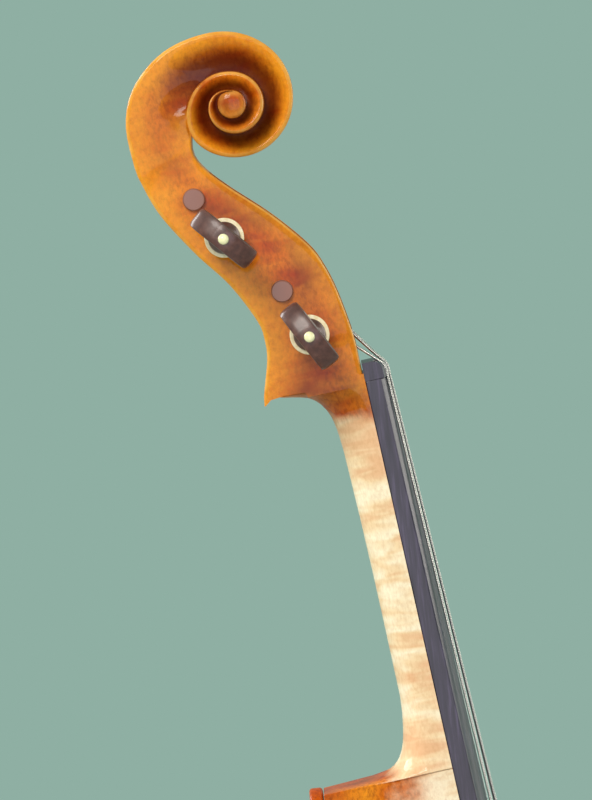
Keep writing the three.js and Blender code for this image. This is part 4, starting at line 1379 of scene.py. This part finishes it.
def paint_edges(obj, points, edges):
    """Paints each point's distance to the plate's edge, which places the purfling."""
    tree = nearest_among(points)
    distances = []
    for vertex in obj.data.vertices:
        _, i, _ = tree.find(vertex.co)
        exact = from_edge(vertex.co.x / MM, vertex.co.z / MM)
        distances.append(NO_EDGE if edges[i] == NO_EDGE else exact)
    paint(obj, "from_edge", distances)


paint_edges(belly, belly_points, belly_edges)
paint_edges(back, back_points, back_edges)
place_piece(belly, belly_spruce, ROOT, "varnished_spruce", "top_plate")
place_piece(back, back_maple, ROOT, "varnished_maple", "back_plate")

# %% [markdown]
# The ribs are thin strips of maple bent to the outline, a little inside the plates' edges, and they meet in
# a sharp edge at each corner. Each one is a strip given its 1 mm of wood by Solidify.

# %% Bend the ribs
RIB_HIGH = RIB_HALF - 0.02


def inset_line(line, distance):
    moved = []
    for i, (x, z) in enumerate(line):
        way = heading(line, i)
        moved.append((x - way[1] * distance, z + way[0] * distance))
    return moved


def crossing(first, second):
    """Where the run of one line past its end meets the run of the other before its start."""
    p, q = Vector(first[-1]), Vector(second[0])
    a, b = (p - Vector(first[-2])).normalized(), (q - Vector(second[1])).normalized()
    s = ((q.x - p.x) * b.y - (q.y - p.y) * b.x) / (a.x * b.y - a.y * b.x)
    return tuple(p + a * s)


inset_lower, inset_waist, inset_upper = (inset_line(line, OVERHANG) for line in (lower, waist, upper))
lower_tip, upper_tip = crossing(inset_lower, inset_waist), crossing(inset_waist, inset_upper)
RIBS = {
    "lower": inset_lower[1:] + [lower_tip],
    "waist": [(lower_tip[0] - 0.6, lower_tip[1])] + inset_waist + [(upper_tip[0] - 0.6, upper_tip[1])],
    "upper": [upper_tip] + inset_upper[:-1],
}
for bout_name, line in RIBS.items():
    for side_name, side in (("bass", -1), ("treble", 1)):
        points = [Vector((side * x, y, z)) * MM for y in (-RIB_HIGH, 0, RIB_HIGH) for x, z in line]
        rib = build(f"rib_{bout_name}_{side_name}_bent", points, grid_faces(3, len(line)), angle=60)
        normal = rib.data.polygons[len(line) // 2].normal
        middle = Vector((0, 0, 0.19))
        outward = normal.dot(rib.data.polygons[len(line) // 2].center - middle) > 0
        if bout_name == "waist":
            outward = normal.x * side > 0
        only(rib)
        wood = rib.modifiers.new("wood", "SOLIDIFY")
        wood.thickness, wood.offset = RIB * MM, -1 if outward else 1
        bpy.ops.object.modifier_apply(modifier="wood")
        clean(rib, 40, 0.001)
        place_piece(rib, rib_maple, ROOT, "varnished_maple", f"rib_{bout_name}_{side_name}")

# %% [markdown]
# ## Fittings
#
# The bridge is sawn from a maple blank: an outline with a heart and two kidney holes. A flat filled curve
# holds such an outline with its holes, and gives it thickness and a small chamfer at once. It's then
# thinned from foot to top, as a bridge is.

# %% Cut the bridge
BRIDGE_FOOT, BRIDGE_CREST = 4.2, 1.5
FOOT_Y = -29.2
BRIDGE_HIGH, BRIDGE_TOP_HALF = 32, 18.3
BODY_HALF = 58  # the body's half width beside the bridge


def foot_y(x):
    share = x / BODY_HALF
    return -(RIB_HALF + EDGE + ARCH * long_arch(BRIDGE_Z) * swell(share)) - 0.05


BRIDGE_SIDE = [
    (20.5, foot_y(20.5)), (20.4, foot_y(20.5) - 2.2), (17.2, -36.2), (15.1, -39.4), (15.6, -42),
    (18.6, -44.6), (20.6, -47), (20.2, -49.8), (18.9, -52.4),
]
ARCH_UNDER = [
    (-11.5, foot_y(11.5)), (-10.4, -34.6), (-7, -37.2), (0, -38.7), (7, -37.2), (10.4, -34.6),
    (11.5, foot_y(11.5)),
]
HEART_CUT = [
    (0, -43.2), (2.6, -45.4), (3.7, -47.8), (2.3, -50.1), (0, -48.9), (-2.3, -50.1), (-3.7, -47.8),
    (-2.6, -45.4),
]
KIDNEY = [(8.6, -43.6), (12.4, -44.2), (15, -46.4), (14.6, -49.2), (12, -50.2), (11.8, -47.6), (9, -46.4)]


def bridge_outline():
    right = through(BRIDGE_SIDE, 40)
    top = []
    for step in range(25):
        x = BRIDGE_TOP_HALF * (1 - step / 12)
        top.append((x, bridge_top(x)))
    left = [(-x, y) for x, y in reversed(right)]
    return right + top + left + through(ARCH_UNDER, 30)[1:-1]


def flat_spline(curve, points, smooth):
    spline = curve.splines.new("POLY")
    run = evenly([*points, points[0]], 40)[:-1] if smooth else points
    spline.points.add(len(run) - 1)
    for point, (x, y) in zip(spline.points, run):
        point.co = (x * MM, -y * MM, 0, 1)
    spline.use_cyclic_u = True


curve = bpy.data.curves.new("bridge_cut", "CURVE")
curve.dimensions, curve.fill_mode = "2D", "BOTH"
curve.extrude, curve.bevel_depth, curve.bevel_resolution = (BRIDGE_FOOT / 2 - 0.3) * MM, 0.3 * MM, 1
curve.offset = -0.3 * MM
flat_spline(curve, bridge_outline(), smooth=False)
flat_spline(curve, HEART_CUT, smooth=True)
for side in (1, -1):
    flat_spline(curve, [(side * x, y) for x, y in KIDNEY], smooth=True)
bridge = bpy.data.objects.new("bridge_cut", curve)
bpy.context.scene.collection.objects.link(bridge)
only(bridge)
bpy.ops.object.convert(target="MESH")
bridge = bpy.context.object
for vertex in bridge.data.vertices:
    x, high, thick = vertex.co
    share = min(1, max(0, (high / MM + FOOT_Y) / BRIDGE_HIGH))
    vertex.co = (x, -high, BRIDGE_Z * MM + thick * mix(1, BRIDGE_CREST / BRIDGE_FOOT, share))
clean(bridge, 35, 0.001)
place_piece(bridge, bridge_maple, ROOT, "bridge_maple", "bridge")

# %% [markdown]
# The tailpiece is a long tapered block: its top is domed across, its string end has a raised fret, and
# three holes with slots take the strings. It starts as rings and gets its holes by cutting.

# %% Shape the tailpiece
TAIL_LONG = 100.0
TAIL_HALF, TAIL_DOME = 20.5, 2.6
TAIL_RINGS = [
    (0, 20.2, 4.6), (-0.5, 20.5, 5.3), (-2, 20.5, 5.5), (-12, 20.2, 5.6), (-28, 17.9, 5.7),
    (-45, 15.2, 5.8), (-62, 13.1, 5.7), (-80, 11.6, 5.6), (-92, 10.9, 5.3), (-98, 10.7, 5.0),
    (-99.6, 10.4, 4.6), (-TAIL_LONG, 9.9, 4.1),
]
FRET_AT = -2.6


def tail_ring(along, half, thick):
    ring = []
    for step in range(25):
        s = 1 - step / 12
        dome = TAIL_DOME * s * s + 0.5 * abs(s) ** 8 + (0.4 if along in (0, -TAIL_LONG) else 0)
        ring.append(tail(half * s, along, min(dome, thick - 0.6)))
    ring += [
        tail(-half, along, thick - 0.5), tail(-half + 0.6, along, thick),
        tail(half - 0.6, along, thick), tail(half, along, thick - 0.5),
    ]
    return ring


tailpiece = loft("tailpiece_shaped", [tail_ring(*ring) for ring in TAIL_RINGS], angle=30)
TUNER_X, TUNER_SCREW = 1.5 * TAIL_SPACE, -17


def tail_box(name, low, high):
    """A box between two corners in the tailpiece's own directions, (x, along, back)."""
    tool = block(name, low, high)
    for vertex in tool.data.vertices:
        x, along, back = vertex.co / MM
        vertex.co = tail(x, along, back)
    return tool


def tail_place(x, along):
    """The matrix that stands a turned piece on the tailpiece."""
    origin = tail(0, 0, 0)
    ways = [(tail(*way) - origin) / MM for way in ((1, 0, 0), (0, 1, 0), (0, 0, 1))]
    return Matrix.Translation(tail(x, along, 0)) @ Matrix(ways).transposed().to_4x4()


def tail_rod(name, x, along, low, high, radius):
    """A round bar through the tailpiece, square to its top."""
    profile = [(0, low), (radius, low), (radius, high), (0, high)]
    return turned(name, profile, tail_place(x, along), 24)


for i in range(3):
    x = (i - 1.5) * TAIL_SPACE
    combine(tailpiece, tail_rod("string_hole", x, -9, -6, 12, 1.5), "DIFFERENCE")
    combine(tailpiece, tail_box("string_slot", (x - 0.5, -9, -6), (x + 0.5, -3.6, 12)), "DIFFERENCE")
combine(tailpiece, tail_box("tuner_slot", (TUNER_X - 2.6, -22, -6), (TUNER_X + 2.6, -1.6, 12)), "DIFFERENCE")
clean(tailpiece, 30, 0.001)
place_piece(tailpiece, ebony, ROOT, "ebony", "tailpiece")
FRET_FROM, FRET_TO = -19.4, 10.8  # it stops short of the fine tuner
fret_places = [mix(FRET_FROM, FRET_TO, k / 20) for k in range(21)]
fret_route = [tail(x, FRET_AT, TAIL_DOME * (x / TAIL_HALF) ** 2 - 0.1) for x in fret_places]
fret = tube("tailpiece_fret", fret_route, 0.5, 12)
place_piece(fret, ebony, ROOT, "ebony")

# %% [markdown]
# The end button and the saddle are ebony too. The button is turned, with a groove that takes the tailgut,
# and the saddle is a filed block that lifts the gut over the belly's edge. The gut is a black cord under
# tension between two holes in the tailpiece, so it's a fixed part and not a free cord.

# %% Turn the button, file the saddle, fit the tailgut
SHANK = 3.8
button_profile = [
    (0, 0), (3.9, 0), (4.6, 0.15), (5.7, 0.7), (6.6, 1.6), (7.1, 2.7), (7.1, 3.6), (6.7, 4.5),
    (5.6, 5.2), (5.0, 5.6), (5.0, 7.5), (5.5, 8.0), (6.4, 8.3), (6.6, 8.8), (6.6, 10.9), (SHANK, 11),
    (SHANK - 0.5, 34), (0, 34),
]
end_button = turned("end_button_turned", button_profile, steps=64, angle=30)
place_piece(end_button, ebony, ROOT, "ebony", "end_button")

SADDLE_LINE = [
    (8.5, -15.9), (8.5, -20.6), (8.9, -21.8), (9.7, -22.7), (10.8, -23), (12.2, -22.7), (13.6, -21.7),
    (15, -20.5), (16, -20.1), (16, -15.9),
]
SADDLE_HALF, SADDLE_FOOT = 18, -15.9
saddle_rings = []
for step in range(25):
    x = SADDLE_HALF * (step / 12 - 1)
    shut = 1 - 0.5 * max(0, (abs(x) - 14) / 4) ** 2
    ring = []
    for z, y in SADDLE_LINE:
        lower = mix(1, shut, min(1, (SADDLE_FOOT - y) / 7))
        ring.append(Vector((x, SADDLE_FOOT + (y - SADDLE_FOOT) * lower, z)) * MM)
    saddle_rings.append(ring)
saddle = loft("saddle_filed", saddle_rings, angle=30)
place_piece(saddle, ebony, ROOT, "ebony", "saddle")

GUT, GUT_BEND, GUT_Z = 0.9, 6.4, 6.5
gut_side = [(4.5, -99.9, 3.2), (4.8, -101.8, 3.2)]


def gut_half(side):
    half = [tail(side * x, a, b) for x, a, b in gut_side]
    points = [
        (6.4, -23.95, 12.5), (6.7, -23.6, 9.8), (6.9, -22.6, 7.5), (7.0, -19.5, 6.7), (7, -12, 6.5),
        (6.6, -3.6, 6.5),
    ]
    return half + [Vector((side * x, y, z)) * MM for x, y, z in points]


gut_loop = []
for step in range(1, 24):
    angle = math.pi * step / 24
    gut_loop.append(Vector((GUT_BEND * math.cos(angle), GUT_BEND * math.sin(angle), GUT_Z)) * MM)
gut = tube("tailgut_fitted", [*gut_half(1), *gut_loop, *reversed(gut_half(-1))], GUT, 14)
place_piece(gut, black_cord, ROOT, "tail_cord", "tailgut")

# %% [markdown]
# The fine tuner lets the player correct the E string. A knurled screw presses one arm of a lever, which
# rocks on its pivot and pulls the string. The frame is fixed to the tailpiece, so each of the three rides
# on its own body.

# %% The fine tuner
KNURLS = 28
frame_plate = tail_box("tuner_plate", (TUNER_X - 3.6, -23, -0.9), (TUNER_X + 3.6, -9, 0.3))
bevelled(frame_plate, 0.3, 3)
nut_profile = [(1.5, -2.9), (2.3, -2.9), (2.8, -2.4), (2.8, -0.7), (1.5, -0.7), (1.5, -2.9)]
screw_place = tail_place(TUNER_X, TUNER_SCREW)
combine(frame_plate, tail_rod("screw_way", TUNER_X, TUNER_SCREW, -6, 6, 1.5), "DIFFERENCE")
collar = turned("tuner_collar", nut_profile, screw_place, 40)
tuner_frame = joined("tuner_frame_cast", frame_plate, collar)
clean(tuner_frame, 35, 0.001)
place_piece(tuner_frame, nickel, ROOT, "nickel", "tuner_frame")

screw_profile = [
    (0, -9.8), (2.6, -9.8), (3.4, -9.6), (3.8, -9.1), (4, -8.6), (4, -6), (3.8, -5.4), (3.4, -5.05),
    (1.2, -5),
]
THREAD, THREADED = 0.45, 9.8
for step in range(int(THREADED / THREAD)):
    height = -4.8 + step * THREAD
    screw_profile += [(1.2, height), (1.02, height + 0.5 * THREAD)]
screw_profile += [(1.2, 5.6), (0.8, 6.4), (0, 6.4)]
screw = turned("tuner_screw_turned", screw_profile, steps=2 * KNURLS)
for vertex in screw.data.vertices:
    x, y, z = vertex.co / MM
    radius = math.hypot(x, y)
    if radius > 3.7:
        turn = math.atan2(y, x)
        cut = 1 - 0.045 * (0.5 + 0.5 * math.cos(turn * KNURLS))
        vertex.co = Vector((x * cut, y * cut, z)) * MM
screw.data.transform(screw_place)
clean(screw, 30, 0.001)
place_piece(screw, nickel, "fine_tuner_screw", "nickel", "tuner_screw")

LEVER = [
    (-19, 6.9), (-15, 6.8), (-9, 6.0), (-6.4, 5.0), (-5.6, 3.2), (-5.4, 0.4), (-5.2, -1.4),
    (-4.4, -2.2), (-3.4, -2.3), (-3.4, 1), (-3.5, 4.6), (-4.2, 6.2), (-6.2, 7.1), (-10, 7.6),
    (-17, 8.3), (-18.8, 8.1),
]
lever_rings = []
middle = [sum(p[k] for p in LEVER) / len(LEVER) for k in (0, 1)]
for x, shrink in ((-1.4, 0.22), (-1.2, 0), (-0.4, 0), (0.4, 0), (1.2, 0), (1.4, 0.22)):
    ring = []
    for a, b in LEVER:
        ring.append(tail(TUNER_X + x, mix(a, middle[0], shrink * 0.08), mix(b, middle[1], shrink * 0.15)))
    lever_rings.append(ring)
lever = loft("tuner_lever_bent", lever_rings, angle=35)
place_piece(lever, nickel, "fine_tuner_lever", "nickel", "tuner_lever")

# %% [markdown]
# Inside the body the linings, blocks, bass bar and soundpost keep their frame shapes, which are right as
# they are, and only take bare wood.

# %% Inner woods
INNER = [n for n in frame["nodes"] if n.startswith(("lining_", "block_")) or n in ("bass_bar", "soundpost")]
for name in INNER:
    wood = inner_spruce if name in ("bass_bar", "soundpost") else bare_wood
    obj = frame["nodes"][name]
    obj.data.materials.clear()
    obj.data.materials.append(wood)
print("inner pieces", len(INNER))

# %% [markdown]
# ## Looking at it
#
# The camera stands far off on the bass side, a little above the head, and is rolled a few degrees. Soft
# area lights stand in front and behind, so that the varnish shows long highlights.

# %% Camera, lights and floor
CAMERA_AT = Vector((-1.9, -0.0092, 0.5824))
LOOKS_AT = Vector((0, 0.0108, 0.4890))
ROLL = math.radians(6.24)
ahead = (LOOKS_AT - CAMERA_AT).normalized()
level = ahead.cross(Vector((0, 0, 1))).normalized()
above = level.cross(ahead)
right = level * math.cos(ROLL) - above * math.sin(ROLL)
up = above * math.cos(ROLL) + level * math.sin(ROLL)
bpy.ops.object.select_all(action="DESELECT")
bpy.ops.object.camera_add(location=CAMERA_AT)
camera = bpy.context.object
camera.matrix_world = Matrix.Translation(CAMERA_AT) @ Matrix((right, up, -ahead)).transposed().to_4x4()
camera.data.lens = 290
camera.data.sensor_width = 36
camera.data.sensor_fit = "VERTICAL"
camera.data.sensor_height = 36
camera.data.clip_end = 20
bpy.context.scene.camera = camera


def area_light(name, location, target, size, watts, colour="#FFFFFF"):
    bpy.ops.object.light_add(type="AREA", location=location)
    light = bpy.context.object
    light.name = name
    light.data.size = size
    light.data.energy = watts
    light.data.color = linear(colour)[:3]
    way = Vector(target) - Vector(location)
    light.rotation_euler = way.to_track_quat("-Z", "Y").to_euler()


HEAD = (0, 0.01, 0.53)
area_light("key", (-1.4, 0.5, 1.6), HEAD, 0.7, 24, "#FFF8F0")
area_light("fill", (-1.7, -0.3, 0.5), HEAD, 1.2, 10, "#F6EEFF")
area_light("rim", (0.6, 1.2, 1.3), HEAD, 0.8, 24)
area_light("front", (0.8, -1.6, 0.7), (0, 0, 0.25), 1.2, 16, "#FFF8F0")

world = bpy.data.worlds.new("pale studio")
world.use_nodes = True
backdrop = world.node_tree.nodes["Background"]
backdrop.inputs["Color"].default_value = linear("#8FAFA3")
backdrop.inputs["Strength"].default_value = 1.0
bpy.context.scene.world = world
bpy.context.scene.view_settings.view_transform = "Standard"  # keeps the varnish as strong as its colours

bpy.ops.object.select_all(action="DESELECT")
bpy.ops.mesh.primitive_circle_add(vertices=96, radius=2.8, fill_type="NGON", location=(0, 0, -0.002))
floor = bpy.context.object
floor.name = "floor"
paper, paper_tree, paper_shader, paper_place = blank("paper floor", **{"Roughness": 0.85})
shade = spread(paper_tree, noise(paper_tree, paper_place, 4.0, detail=2), 0.3, 0.7)
colour_of(paper_tree, paper_shader, ramp(paper_tree, shade, (0, "#A3ABA5"), (1, "#ADB5AF")))
floor.data.materials.append(paper)
